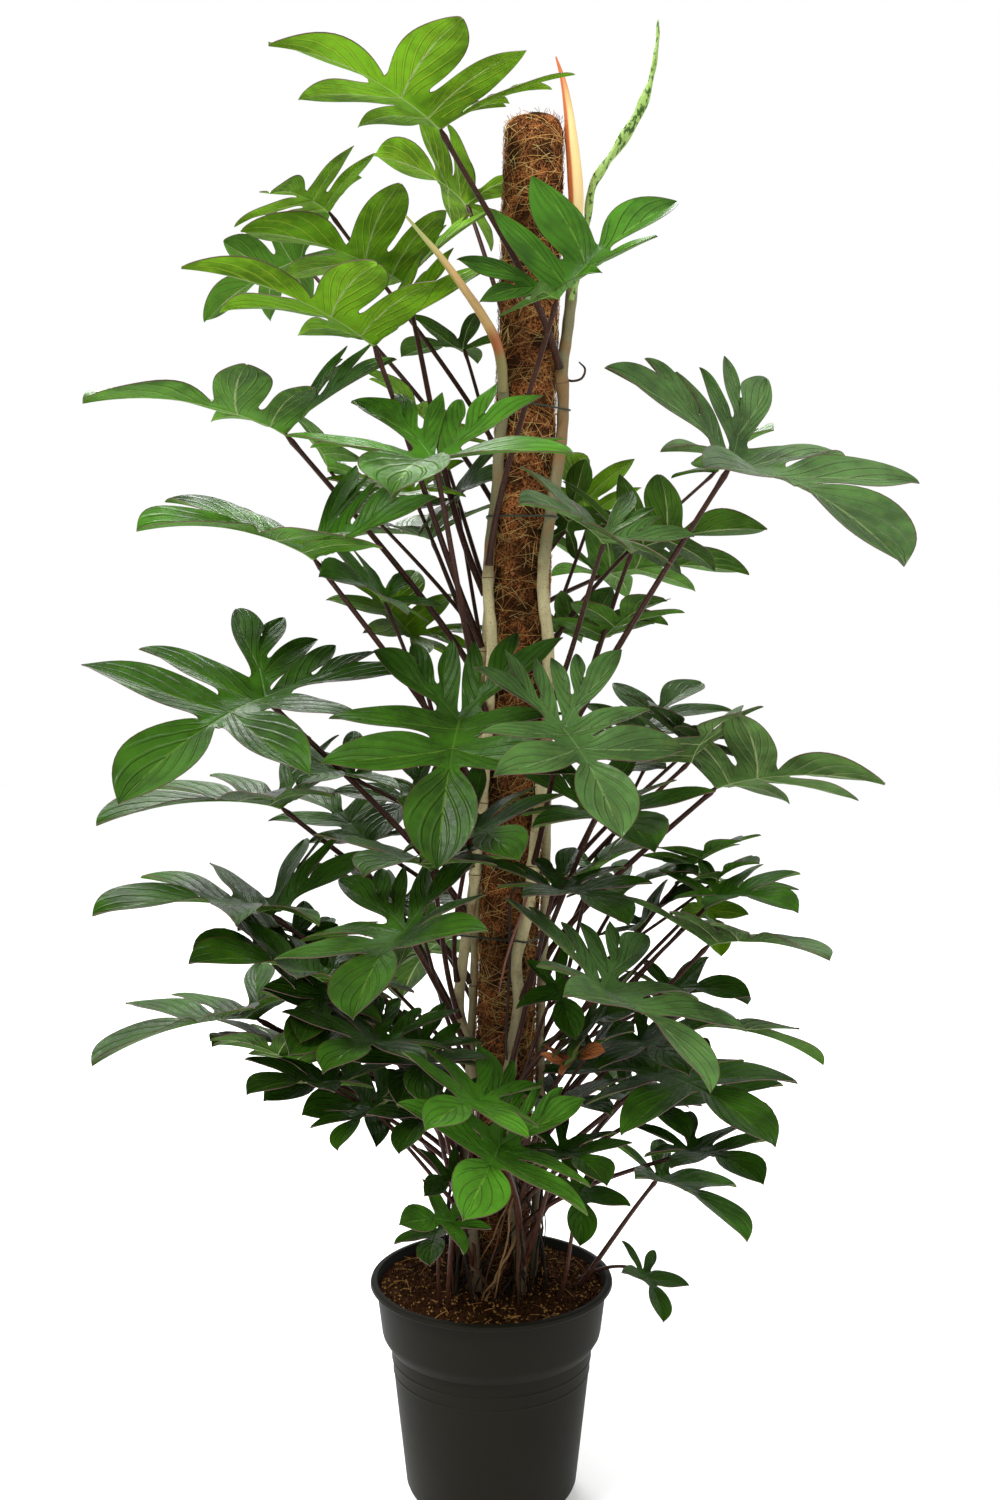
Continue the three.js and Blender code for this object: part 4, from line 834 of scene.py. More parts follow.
class BladePlan:
    """A blade laid out flat, with a height, a thickness and a UV at each point."""

    def __init__(self, leaf, seed, division):
        self.length = leaf.length
        self.across, self.along = division.across, division.along
        self.index = {}
        self.points = []
        self.lifts = []
        self.thick = []
        self.faces = []
        self.uvs = []
        self.border = []
        lobes = lobe_plans(leaf.kind, seed)
        back = {s: [p.foot for p in lobes if p.side == s and p.foot[0] < 0] for s in (-1, 1)}
        self.web(SINUS, [HUB, *back[-1][1:][::-1], back[-1][0]])
        start, axis = SINUS, np.array([-1.0, 0])
        for lobe, following in zip(lobes, [*lobes[1:], None]):
            if following is None:
                end, next_axis = SINUS, np.array([-1.0, 0])
            else:
                next_axis = lobe.along + following.along
                next_axis = next_axis / np.linalg.norm(next_axis)
                web = lobe.web if lobe.side == -1 else following.web
                end = (lobe.foot + following.foot) / 2 + next_axis * web
            self.lobe(lobe, (start, axis), (end, next_axis))
            if following is not None:
                crossing = (lobe.foot[0] < 0) != (following.foot[0] < 0)
                self.web(end, [lobe.foot, HUB, following.foot] if crossing else [lobe.foot, following.foot])
            start, axis = end, next_axis
        self.web(SINUS, [*back[1][::-1], HUB])

    def point(self, place, lift, thick):
        key = (round(place[0] * 4e4), round(place[1] * 4e4))
        if key not in self.index:
            self.index[key] = len(self.points)
            self.points.append(place)
            self.lifts.append(lift)
            self.thick.append(thick)
        return self.index[key]

    def grid(self, places, lifts, thick, uv, flip):
        """Faces over a grid of points, without the ones that close to a line."""
        rows, columns = places.shape[:2]
        ids = np.array([
            [self.point(places[i, j], lifts[i, j], thick[i, j]) for j in range(columns)]
            for i in range(rows)
        ])
        for i in range(rows - 1):
            for j in range(columns - 1):
                corners = [(i, j), (i + 1, j), (i + 1, j + 1), (i, j + 1)]
                kept = []
                for corner in corners:
                    if ids[corner] not in [ids[c] for c in kept]:
                        kept.append(corner)
                if len(kept) < 3:
                    continue
                if flip:
                    kept = kept[::-1]
                self.faces.append([int(ids[c]) for c in kept])
                self.uvs.append([tuple(uv[c]) for c in kept])
        return ids

    def rib_thick(self, u, t):
        """Thickness where u runs from vein to margin and t from the lobe's foot to its tip."""
        return sizes().edge + (0.0003 + 0.0011 * (1 - t)) * np.exp(-((u / 0.12) ** 2))

    def groove(self, u, t):
        return -0.0006 * (1 - t) * np.exp(-((u / 0.05) ** 2))

    def lobe(self, lobe, start, end):
        for hand, (notch, axis) in ((-1, start), (1, end)):
            toward = np.array([-axis[1], axis[0]])
            aim = lobe.foot + lobe.along * 0.3 * lobe.reach - notch
            toward = toward * (0.05 if np.dot(toward, aim) > 0 else -0.05)
            vein = lobe.vein(self.along * (0.9 + 0.1 * self.along**3))
            margin = lobe.margin(hand, notch, toward, self.along)
            t, u = np.meshgrid(self.along, self.across, indexing="ij")
            places = vein[:, None] * (1 - u)[..., None] + margin[:, None] * u[..., None]
            half = lobe.half * self.length
            swell = np.sin(np.pi * t) ** 0.7
            phase = LATERALS * (t - LATERAL_LEAN * u)
            lifts = 0.24 * half * u**1.3 * swell
            lifts = lifts + 0.0015 * np.cos(2 * np.pi * phase) * np.sin(np.pi * u) * np.sqrt(t) * (1 - t)
            wave = np.sin(2 * np.pi * (1.6 * t + 0.5 * lobe.phase)) * u**2 * np.sqrt(t) * (1 - t) * 2
            lifts = lifts + 0.0016 * (self.length / 0.2) * wave
            lifts = lifts + 0.05 * self.length * lobe.curl * t**2 * (0.4 if lobe.side == 0 else 1)
            lifts = lifts + hand * 0.28 * lobe.twist * half * u * t**1.5 * (1 - t) * 2
            lifts = lifts + self.groove(u, t)
            uv = np.stack([u, phase + 10], -1)
            ids = self.grid(places, lifts, self.rib_thick(u, t), uv, hand < 0)
            edge = [int(k) for k in ids[:, -1]]
            self.border.extend(edge if hand < 0 else edge[::-1])

    def web(self, notch, base):
        """The blade between two lobes: strips from a rib to the notch."""
        line = [base[0]]
        for a, b in zip(base, base[1:]):
            line.extend(a + (b - a) * k / RIB_STEPS for k in range(1, RIB_STEPS + 1))
        line = np.array(line)
        u = np.broadcast_to(self.across, (len(line), len(self.across)))
        places = line[:, None] * (1 - u)[..., None] + notch * u[..., None]
        zero = np.zeros_like(u)
        uv = np.stack([u, zero + 10.5], -1)
        a, b = line[0] - notch, line[-1] - notch
        turn = a[0] * b[1] - a[1] * b[0]
        self.grid(places, self.groove(u, zero), self.rib_thick(u, zero), uv, turn < 0)


def bent(points, lift, leaf):
    """Bends a flat blade along rays from its hub: each rises at first and then droops."""
    x, y = points[:, 0], points[:, 1]
    reach = np.maximum(1e-6, np.hypot(x, y)) * leaf.length
    turn = np.arctan2(y, x)
    rise = leaf.cup * (1 - np.cos(2 * turn)) / 2 + leaf.back * np.maximum(0, -np.cos(turn))
    curl = DROOP / leaf.length
    fall = rise - curl * reach
    out = (np.sin(rise) - np.sin(fall)) / curl + -np.sin(fall) * lift
    high = (np.cos(fall) - np.cos(rise)) / curl + np.cos(fall) * lift
    return np.stack([out * np.cos(turn), out * np.sin(turn), high], -1)


def blade_axes(leaf, joint):
    """The blade's own axes as rows: forward to its tip as it is seen, left, and up from its upper face."""
    line = sight_line(leaf.tip)
    across = joint - EYE
    along = np.dot(across, line)
    spare = leaf.length**2 - (np.dot(across, across) - along**2)
    tip = EYE + line * (along + leaf.face * math.sqrt(max(0, spare)))
    forward = unit(tip - joint)
    outward = unit((joint - pole_axis(joint[2])) * (1, 1, 0))
    upper = UP + FACE_OUT * outward
    upper = unit(upper - forward * np.dot(upper, forward))
    upper = turned(upper, forward, math.radians(leaf.roll))
    return np.array([forward, np.cross(upper, forward), upper])


def stalk_line(leaf, joint, upper):
    """The stalk's line: from the middle of its stem, up and out, to just under the blade's hub."""
    foot = stem_at(leaf.stem, leaf.start) if leaf.stem else np.array([*leaf.start, 0.206])
    run = joint - foot
    reach = np.linalg.norm(run)
    away = turned(unit((foot - pole_axis(foot[2])) * (1, 1, 0)), UP, math.radians(leaf.swing))
    start = foot + UP * 0.26 * reach + unit(run * (1, 1, 0)) * 0.1 * reach + away * leaf.clear
    end = foot + run * 0.7 + UP * leaf.arch
    return bezier([foot, start, end, joint - upper * 0.0015], np.linspace(0, 1, 26))


def leaf_shape(leaf, seed, division):
    joint = sighted(leaf.joint, leaf.depth)
    axes = blade_axes(leaf, joint)
    plan = BladePlan(leaf, seed, division)
    points = np.array(plan.points)
    lifts = np.array(plan.lifts)
    thick = np.array(plan.thick)
    thick = thick + 0.0012 * np.exp(-((np.hypot(*points.T) * leaf.length / 0.008) ** 2))
    chord = bent(np.array([[1.0, 0]]), np.zeros(1), leaf)[0]
    tilt = math.atan2(chord[2], chord[0])
    # The chord from joint to tip stays on the forward axis
    c, s = math.cos(tilt), math.sin(tilt)
    level = np.array([[c, 0, s], [0, 1, 0], [-s, 0, c]])

    def place(lift):
        return joint + bent(points, lift, leaf) @ level.T @ axes

    shape = Shape()
    n = len(points)
    under = [[k + n for k in face[::-1]] for face in plan.faces]
    ring = [k for i, k in enumerate(plan.border) if k != plan.border[i - 1]]
    edge = [[a + n, b + n, b, a] for a, b in zip(ring, ring[1:] + ring[:1])]
    shape.add(
        np.concatenate([place(lifts), place(lifts - thick)]),
        plan.faces + under + edge,
        [0] * len(plan.faces) + [1] * len(under) + [2] * len(edge),
        plan.uvs + [uv[::-1] for uv in plan.uvs] + [[(1.0, 0.5)] * 4] * len(edge),
    )
    line = stalk_line(leaf, joint, axes[2])
    if leaf.stem:
        samples = STEM_SAMPLES[leaf.stem]
        apart = [np.linalg.norm(samples - p, axis=1).min() for p in line[:12]]
        first = next((i for i, d in enumerate(apart) if d > STEM_RADII[leaf.stem] * 0.7), 0)
        line = line[max(0, first - 1):]
        line[0] = line[0] + (line[1] - line[0]) * 0.5 if first else line[0]
    share = np.linspace(0, 1, len(line))
    size = np.interp(leaf.length, (0.06, 0.2), (0.0021, 0.0036))
    base_swell = 0.35 * np.exp(-((share / 0.05) ** 2))
    knee = 0.28 * np.exp(-(((share - 0.96) / 0.03) ** 2))
    radii = size * (1.12 - 0.4 * share + base_swell + knee)
    radii[-1] *= 0.6
    add_tube(shape, line, radii, division.sides, 3)
    return shape


class Grown:
    """A leaf that stands in the plant: its box, and a tree that finds what cuts into it."""

    def __init__(self, shape):
        points = np.concatenate(shape.verts)
        self.low, self.high = points.min(0), points.max(0)
        self.points = points
        self.tree = BVHTree.FromPolygons(points.tolist(), shape.faces)

    def crossings(self, other):
        if (self.low > other.high).any() or (other.low > self.high).any():
            return 0
        return len(self.tree.overlap(other.tree))

    def in_pole(self):
        """How many of its points lie inside the sleeve."""
        x, y, z = self.points.T
        apart = np.hypot(x - pole_axis(0)[0] - POLE_LEAN * z, y)
        return int(np.count_nonzero((apart < SLEEVE_RADIUS) & (z < POLE_TOP_Z)))


def clear_leaf(leaf, seed, grown):
    """An inner leaf moved a little, in depth and in roll, to where it crosses its neighbours least."""
    best = None
    for depth in DEPTH_MOVES:
        for roll in ROLL_MOVES:
            moved = leaf._replace(depth=leaf.depth + depth, roll=leaf.roll + roll)
            shape = leaf_shape(moved, seed, PLAIN)
            stand = Grown(shape)
            score = stand.in_pole() + sum(stand.crossings(other) for other in grown)
            if best is None or score < best[0]:
                best = (score, shape, stand)
            if score == 0:
                return best[1:]
    return best[1:]


# New growth. Each piece is a line of sightings from inside its stem, with the depth and radius at each.

Growth = namedtuple("Growth", "stem finish sightings depths radii")
GROWTH = [
    Growth(
        "left", 2,
        [(503, 392), (502, 368), (496, 342), (482, 315), (465, 290), (440, 256), (422, 235), (406, 216)],
        [-0.038, -0.046, -0.066, -0.092, -0.112, -0.118, -0.116, -0.112],
        [0.0045, 0.006, 0.0056, 0.005, 0.0044, 0.0034, 0.0024, 0.0012],
    ),
    Growth(
        "right", 3,
        [
            (571, 300), (582, 262), (587, 225), (593, 185), (612, 155),
            (636, 118), (650, 82), (657, 45), (658, 20),
        ],
        [-0.012, 0.004, 0.01, 0.012, 0.012, 0.01, 0.008, 0.006, 0.004],
        [0.0024, 0.0026, 0.0028, 0.0046, 0.0056, 0.0052, 0.004, 0.0024, 0.0009],
    ),
    Growth(
        "right", 4,
        [(528, 893), (522, 912), (512, 940), (504, 968), (499, 993)],
        [-0.04, -0.052, -0.055, -0.052, -0.046],
        [0.0016, 0.0016, 0.0015, 0.0013, 0.0008],
    ),
    Growth(
        "right", 5,
        [(564, 379), (573, 381), (582, 378), (585, 369), (579, 362)],
        [-0.01, -0.016, -0.02, -0.02, -0.018],
        [0.0015, 0.0014, 0.0013, 0.0012, 0.0008],
    ),
    Growth(
        "right", 5,
        [(531, 884), (514, 890), (510, 905), (510, 950), (508, 1000), (506, 1045), (507, 1060)],
        [-0.04, -0.048, -0.052, -0.05, -0.05, -0.05, -0.046],
        [0.0016, 0.0017, 0.0017, 0.0017, 0.0016, 0.0015, 0.0012],
    ),
]


def spread_evenly(line, step):
    """The same line with points a step apart."""
    line = np.asarray(line, float)
    run = np.concatenate([[0], np.cumsum(np.linalg.norm(np.diff(line, axis=0), axis=1))])
    stops = np.linspace(0, run[-1], max(2, int(run[-1] / step) + 1))
    return np.stack([np.interp(stops, run, line[:, k]) for k in range(3)], -1)


def add_growth(shape, growth):
    """A grown tip or root, with low ridges along it."""
    line = smooth_line([sighted(s, d) for s, d in zip(growth.sightings, growth.depths)], 8)
    places = np.linspace(0, 1, len(growth.radii))
    radii = np.interp(np.linspace(0, 1, len(line)), places, growth.radii)
    furled = growth.finish == 3

    def relief(i, turn):
        folds = np.cos(2 * turn + i * 0.3) * (0.2 if furled else 0.03)
        lumps = np.sin(i * 0.75 + np.sin(turn)) * (0.2 if furled else 0.02)
        return radii[i] * (folds + lumps)

    add_tube(shape, line, radii, 16, growth.finish, relief)


def add_ring(shape, middle, axis, radius, wire, finish, seed=0):
    """A slightly uneven ring round a line."""
    side = unit(np.cross(axis, [0.3, 0.9, 0.1]))
    other = np.cross(axis, side)
    turns = np.linspace(0, 2 * np.pi, 18, endpoint=False)
    lift = 0.0006 * np.sin(turns + seed)
    line = middle + radius * (np.cos(turns)[:, None] * side + np.sin(turns)[:, None] * other)
    add_tube(shape, line + lift[:, None] * axis, wire, 6, finish, closed=True)


def make_stem(name, finishes):
    samples = spread_evenly(STEM_SAMPLES[name], 0.004)
    radius = STEM_RADII[name]
    nodes = [leaf.start for leaf in LEAVES if leaf.stem == name]
    z = samples[:, 2]
    swell = sum(0.2 * np.exp(-(((z - node) / 0.006) ** 2)) for node in nodes) if nodes else np.zeros(len(z))
    radii = radius * (0.97 + swell)
    radii[-1] *= 0.6
    seed = len(name)

    def relief(i, turn):
        ridges = 0.03 * np.cos(5 * turn + i * 0.11 + seed)
        dents = 0.035 * np.sin(i * 0.9 + 3 * np.sin(turn + seed))
        return radius * (ridges + dents)

    shape = Shape()
    add_tube(shape, samples, radii, 16, 0, relief)
    rng = np.random.default_rng(40 + seed)
    for node in nodes:
        middle = stem_at(name, node)
        axis = unit(stem_at(name, node + 0.004) - stem_at(name, node - 0.004))
        add_ring(shape, middle + axis * 0.001, axis, radius * 1.13, 0.0006, 1, node * 90 + 0.001)
        for _ in range(4):
            turn = rng.uniform(0, 2 * np.pi)
            out = np.array([math.cos(turn), math.sin(turn), 0])
            if np.dot(out, middle - pole_axis(node)) < 0.1:
                continue
            start = middle + out * radius
            reach = rng.uniform(0.003, 0.009)
            bend = np.array([rng.normal(), rng.normal(), -1.2]) * reach * 0.5
            course = [start - out * 0.001, start + out * reach * 0.6, start + out * reach + bend]
            line = bezier(course, np.linspace(0, 1, 6))
            add_tube(shape, line, np.linspace(0.0009, 0.0004, 6), 6, 1)
    for growth in GROWTH:
        if growth.stem == name:
            add_growth(shape, growth)
    return shape.build(f"stem_{name}", finishes)


SHEATH_SIGHTINGS = [(575, 232), (576, 205), (575, 180), (572, 145), (568, 108), (563, 80), (556, 57)]
SHEATH_DEPTHS = [-0.006, -0.008, -0.008, -0.008, -0.006, -0.004, -0.002]
SHEATH_RADII = [0.0066, 0.0084, 0.0086, 0.0074, 0.0052, 0.0032, 0.0009]


def make_sheath(finishes):
    """The long pointed sheath, with the fold where its edges meet."""
    line = [sighted(s, d) for s, d in zip(SHEATH_SIGHTINGS, SHEATH_DEPTHS)]
    end = STEM_SAMPLES["right"][-1]
    line = smooth_line([end + unit(line[0] - end) * 0.0006, *line], 10)
    radii = np.interp(np.linspace(0, 1, len(line)), np.linspace(0, 1, 8), [SHEATH_RADII[0], *SHEATH_RADII])

    def relief(i, turn):
        fold = np.exp(-(((turn - 4.4) / 0.16) ** 2)) * 0.14
        ribs = 0.02 * np.cos(9 * turn)
        return radii[i] * (fold + ribs)

    shape = Shape()
    add_tube(shape, line, radii, 36, 0, relief)
    return shape.build("top_sheath", finishes)


FOOT_ROOTS = 90
ROOT_KNOTS = 12
SOIL_LEVEL = 0.229


def make_roots(finishes):
    """Thin roots and dry stalks that stand round the foot of the stems."""
    rng = np.random.default_rng(23)
    shape = Shape()
    for k in range(FOOT_ROOTS):
        name = list(STEM_SAMPLES)[k % 5]
        top = stem_at(name, rng.uniform(0.25, 0.42))
        out = unit((top - pole_axis(top[2])) * (1, 1, 0))
        start = top + out * STEM_RADII[name] * 0.9
        heading = turned(out, UP, rng.normal(0, 0.9))
        foot = pole_axis(SOIL_LEVEL) + heading * rng.uniform(0.04, 0.066)
        share = np.linspace(0, 1, ROOT_KNOTS)[:, None]
        sway = np.cumsum(rng.normal(0, 0.0016, (ROOT_KNOTS, 3)), 0)
        bulge = heading * rng.uniform(0, 0.01) * np.sin(np.pi * share)
        line = start + (foot - start) * share + bulge + (sway - share * sway[-1]) * (1, 1, 0.4)
        size = rng.uniform(0.0008, 0.0024)
        finish = int(rng.choice([0, 1, 2], p=[0.4, 0.12, 0.48]))
        add_tube(shape, line, np.linspace(size, size * 0.7, ROOT_KNOTS), 7, finish)
    return shape.build("aerial_roots", finishes)


# Pole


SLEEVE_FACETS = 76
SLEEVE_ROWS = 320
SLEEVE_BORE = 0.0132
BURSTS = 110
TUFTS = 90


def add_sleeve_wall(shape, rng):
    """The wall of the tube, rough outside and round inside."""
    facets, rows = SLEEVE_FACETS, SLEEVE_ROWS
    turns = 2 * np.pi * np.arange(facets) / facets
    heights = np.linspace(POLE_FOOT[2], POLE_TOP_Z - 0.0005, rows)
    rough = rng.normal(size=(rows, facets))
    for axis in (0, 1):
        rough = (np.roll(rough, 1, axis) + 2 * rough + np.roll(rough, -1, axis)) / 4
    lumps = rng.normal(size=(rows // 6 + 2, facets // 5))
    up, round_ = np.arange(rows) / 6, turns / (2 * np.pi) * lumps.shape[1]
    lower, column = up.astype(int), round_.astype(int)
    a, b = (up - lower)[:, None], (round_ - column)[None]
    following = (column + 1) % lumps.shape[1]
    soft = (1 - a) * ((1 - b) * lumps[lower][:, column] + b * lumps[lower][:, following])
    soft = soft + a * ((1 - b) * lumps[lower + 1][:, column] + b * lumps[lower + 1][:, following])
    radius = SLEEVE_RADIUS - 0.0006 + 0.0011 * rough + 0.0006 * soft
    radius = np.minimum(radius, SLEEVE_RADIUS + 0.0012)
    radius[-3:] -= np.array([0.0006, 0.0016, 0.0034])[:, None]
    middles = np.array([pole_axis(z) for z in heights])
    outward = np.stack([np.cos(turns), np.sin(turns), 0 * turns], -1)
    ring = middles[:, None] + radius[..., None] * outward[None]
    inner = [pole_axis(POLE_TOP_Z - 0.0006), pole_axis(POLE_FOOT[2])]
    verts = [*ring.reshape(-1, 3)]
    for middle in inner:
        verts.extend(middle + SLEEVE_BORE * np.array([math.cos(t), math.sin(t), 0]) for t in turns)
    faces = []
    order = [*range(rows), rows, rows + 1]
    for i, j in zip(order, order[1:] + order[:1]):
        for k in range(facets):
            m = (k + 1) % facets
            faces.append([i * facets + k, i * facets + m, j * facets + m, j * facets + k])
    shape.add(verts, faces, 0)


def add_fibres(shape, rng):
    """Loose fibres that lie bent on the wall."""
    for _ in range(sizes().fibres):
        z = rng.uniform(0.236, POLE_TOP_Z - 0.004)
        turn = rng.uniform(0, 2 * np.pi)
        lean = rng.uniform(-1.5, 1.5)
        reach = rng.uniform(0.008, 0.034)
        share = np.linspace(-0.5, 0.5, 4)
        bow = rng.normal(0, 0.25)
        climb = share * reach * math.cos(lean)
        around = (share * reach * math.sin(lean) + bow * reach * share**2) / SLEEVE_RADIUS
        stand = SLEEVE_RADIUS + rng.uniform(0.0001, 0.0012)
        stand = stand + rng.uniform(-0.001, 0.0022) * np.abs(share * 2) ** 3
        heights = np.clip(z + climb, 0.225, POLE_TOP_Z - 0.001)
        line = [
            pole_axis(h) + s * np.array([math.cos(turn + w), math.sin(turn + w), 0])
            for h, s, w in zip(heights, stand, around)
        ]
        if np.linalg.norm(line[0] - line[-1]) < 0.004:
            continue
        kind = rng.choice([1, 2, 3], p=[0.45, 0.25, 0.3])
        add_tube(shape, line, sizes().fibre * rng.uniform(0.35, 0.75), 3, int(kind))


def add_bursts(shape, rng):
    """Small stars of golden fibre."""
    for _ in range(BURSTS):
        z, turn = rng.uniform(0.3, POLE_TOP_Z - 0.02), rng.uniform(0, 2 * np.pi)
        for _ in range(int(rng.integers(3, 7))):
            lean, reach = rng.uniform(0, 2 * np.pi), rng.uniform(0.006, 0.017)
            share = np.linspace(0, 1, 3)
            around = turn + share * reach * math.sin(lean) / SLEEVE_RADIUS
            stand = SLEEVE_RADIUS + 0.0012 + 0.0006 * share
            line = [
                pole_axis(z + s * reach * math.cos(lean)) + r * np.array([math.cos(w), math.sin(w), 0])
                for s, r, w in zip(share, stand, around)
            ]
            add_tube(shape, line, sizes().fibre * 0.5, 3, 2)


def add_tufts(shape, rng):
    """Short fibres that stand up from the top end."""
    for _ in range(TUFTS):
        turn, stand = rng.uniform(0, 2 * np.pi), rng.uniform(0.016, 0.031)
        out = np.array([math.cos(turn), math.sin(turn), 0])
        root = pole_axis(POLE_TOP_Z - 0.002) + out * stand
        reach = rng.uniform(0.002, 0.009)
        tip = root + out * rng.normal(0.001, 0.004) + UP * reach + np.cross(UP, out) * rng.normal(0, 0.005)
        bend = (root + tip) / 2 + np.array([rng.normal(), rng.normal(), 0.3]) * 0.002
        line = bezier([root, bend, tip], np.linspace(0, 1, 5))
        add_tube(shape, line, 0.00028, 3, int(rng.choice([1, 3])))


def make_sleeve(finishes):
    """The coir tube: rough pressed fibre, open at its top, with loose fibres on it."""
    rng = np.random.default_rng(5)
    shape = Shape()
    add_sleeve_wall(shape, rng)
    add_fibres(shape, rng)
    add_bursts(shape, rng)
    add_tufts(shape, rng)
    return shape.build("coir_sleeve", finishes, sharp=180)


def make_thread(finishes):
    """Golden thread wound up the pole both ways, with a few level turns."""
    rng = np.random.default_rng(9)
    shape = Shape()
    low, high = 0.24, POLE_TOP_Z - 0.004
    turns = (high - low) / sizes().thread_pitch
    steps = int(turns * 26)
    share = np.linspace(0, 1, steps)
    for way in (-1, 1):
        for start in (0.4, 0.4 + np.pi):
            jitter = np.cumsum(rng.normal(0, 0.06, steps))
            jitter = jitter - share * jitter[-1]
            turn = start + way * (2 * np.pi * turns * share) + 0.7 * np.sin(jitter * 1.5)
            drift = 0.009 * np.sin(share * 70 + start * 5) + 0.005 * np.sin(share * 173 + way)
            z = np.clip(low + (high - low) * share + drift, low, high)
            stand = SLEEVE_RADIUS + 0.0012 + 0.0004 * way + 0.0003 * np.sin(share * 400)
            across = pole_axis(0)[0] + POLE_LEAN * z + stand * np.cos(turn)
            line = np.stack([across, stand * np.sin(turn), z], -1)
            add_tube(shape, line, sizes().thread / 2, 5, 0)
    for z in (0.3, 0.52, 0.94, 1.37, 1.5):
        turn = np.linspace(0, 2 * np.pi, 40, endpoint=False)
        height = z + 0.003 * np.sin(turn + z * 9)
        stand = SLEEVE_RADIUS + 0.002
        across = POLE_LEAN * height + stand * np.cos(turn)
        line = np.stack([across, stand * np.sin(turn), height], -1)
        add_tube(shape, line, sizes().thread / 2, 5, 0, closed=True)
    return shape.build("pole_thread", finishes)


# Pot and soil

POT_HEIGHT = POT_HIGH.z
RIM_RADIUS = (POT_HIGH.x - POT_LOW.x) / 2
COLLAR_TOP = 0.1285
COLLAR_FOOT = 0.122
COLLAR_Z = 0.172
BODY_TOP = 0.1125
BODY_FOOT = 0.0945
FOOT = 0.085


def make_pot(finishes):
    wall = sizes().wall
    lip = POT_HEIGHT - 0.006
    profile = [(0, 0), (0.05, 0), (0.051, 0.001), (0.054, 0.007), (0.071, 0.007)]
    profile += [(0.073, 0.0005), (0.0735, 0), (0.0835, 0), (0.085, 0.002)]
    profile += [(0.0865, 0.008), (0.0925, 0.0155), (BODY_FOOT, 0.02)]

    def body(z):
        return float(np.interp(z, (0.02, COLLAR_Z), (BODY_FOOT, BODY_TOP)))

    for z in (0.143, 0.157):
        for step, rise in (
            (-0.003, 0), (-0.001, 0), (-0.0004, 0.0005), (0.0004, 0.0005), (0.001, 0), (0.003, 0)
        ):
            profile.append((body(z if rise else z + step) + rise, z + step))
    profile += [(BODY_TOP, COLLAR_Z), (BODY_TOP + 0.002, COLLAR_Z + 0.0006)]
    profile += [(COLLAR_FOOT - 0.004, COLLAR_Z + 0.006), (COLLAR_FOOT - 0.001, COLLAR_Z + 0.011)]
    profile += [(COLLAR_FOOT, COLLAR_Z + 0.015)]
    profile += [(COLLAR_TOP, lip - 0.0005), (COLLAR_TOP + 0.001, lip), (RIM_RADIUS - 0.0015, lip)]
    profile += [(RIM_RADIUS, lip + 0.0015), (RIM_RADIUS, POT_HEIGHT - 0.004)]
    profile += [(RIM_RADIUS - 0.0009, POT_HEIGHT - 0.0012), (RIM_RADIUS - 0.003, POT_HEIGHT)]
    profile += [(COLLAR_TOP - 0.0005, POT_HEIGHT), (COLLAR_TOP - 0.0015, POT_HEIGHT - 0.001)]
    profile += [(COLLAR_FOOT - wall, COLLAR_Z + 0.015), (BODY_TOP - wall, COLLAR_Z)]
    profile += [(BODY_FOOT - wall, 0.02), (FOOT - wall, 0.0094), (0, 0.0094)]
    shape = Shape()
    add_lathe(shape, profile, 120)
    return shape.build("pot", finishes, sharp=40)


def crumb(rng, size):
    """Corners and faces of one crumb."""
    corners = np.array([[1, 0, 0], [-1, 0, 0], [0, 1, 0], [0, -1, 0], [0, 0, 1], [0, 0, -1]], float)
    corners = corners * rng.uniform(0.5, 1.2, (6, 1)) * size + rng.normal(0, 0.2, (6, 3)) * size
    faces = [[0, 2, 4], [2, 1, 4], [1, 3, 4], [3, 0, 4], [2, 0, 5], [1, 2, 5], [3, 1, 5], [0, 3, 5]]
    return corners, faces


SOIL_EDGE = 0.1252
SHREDS = 170


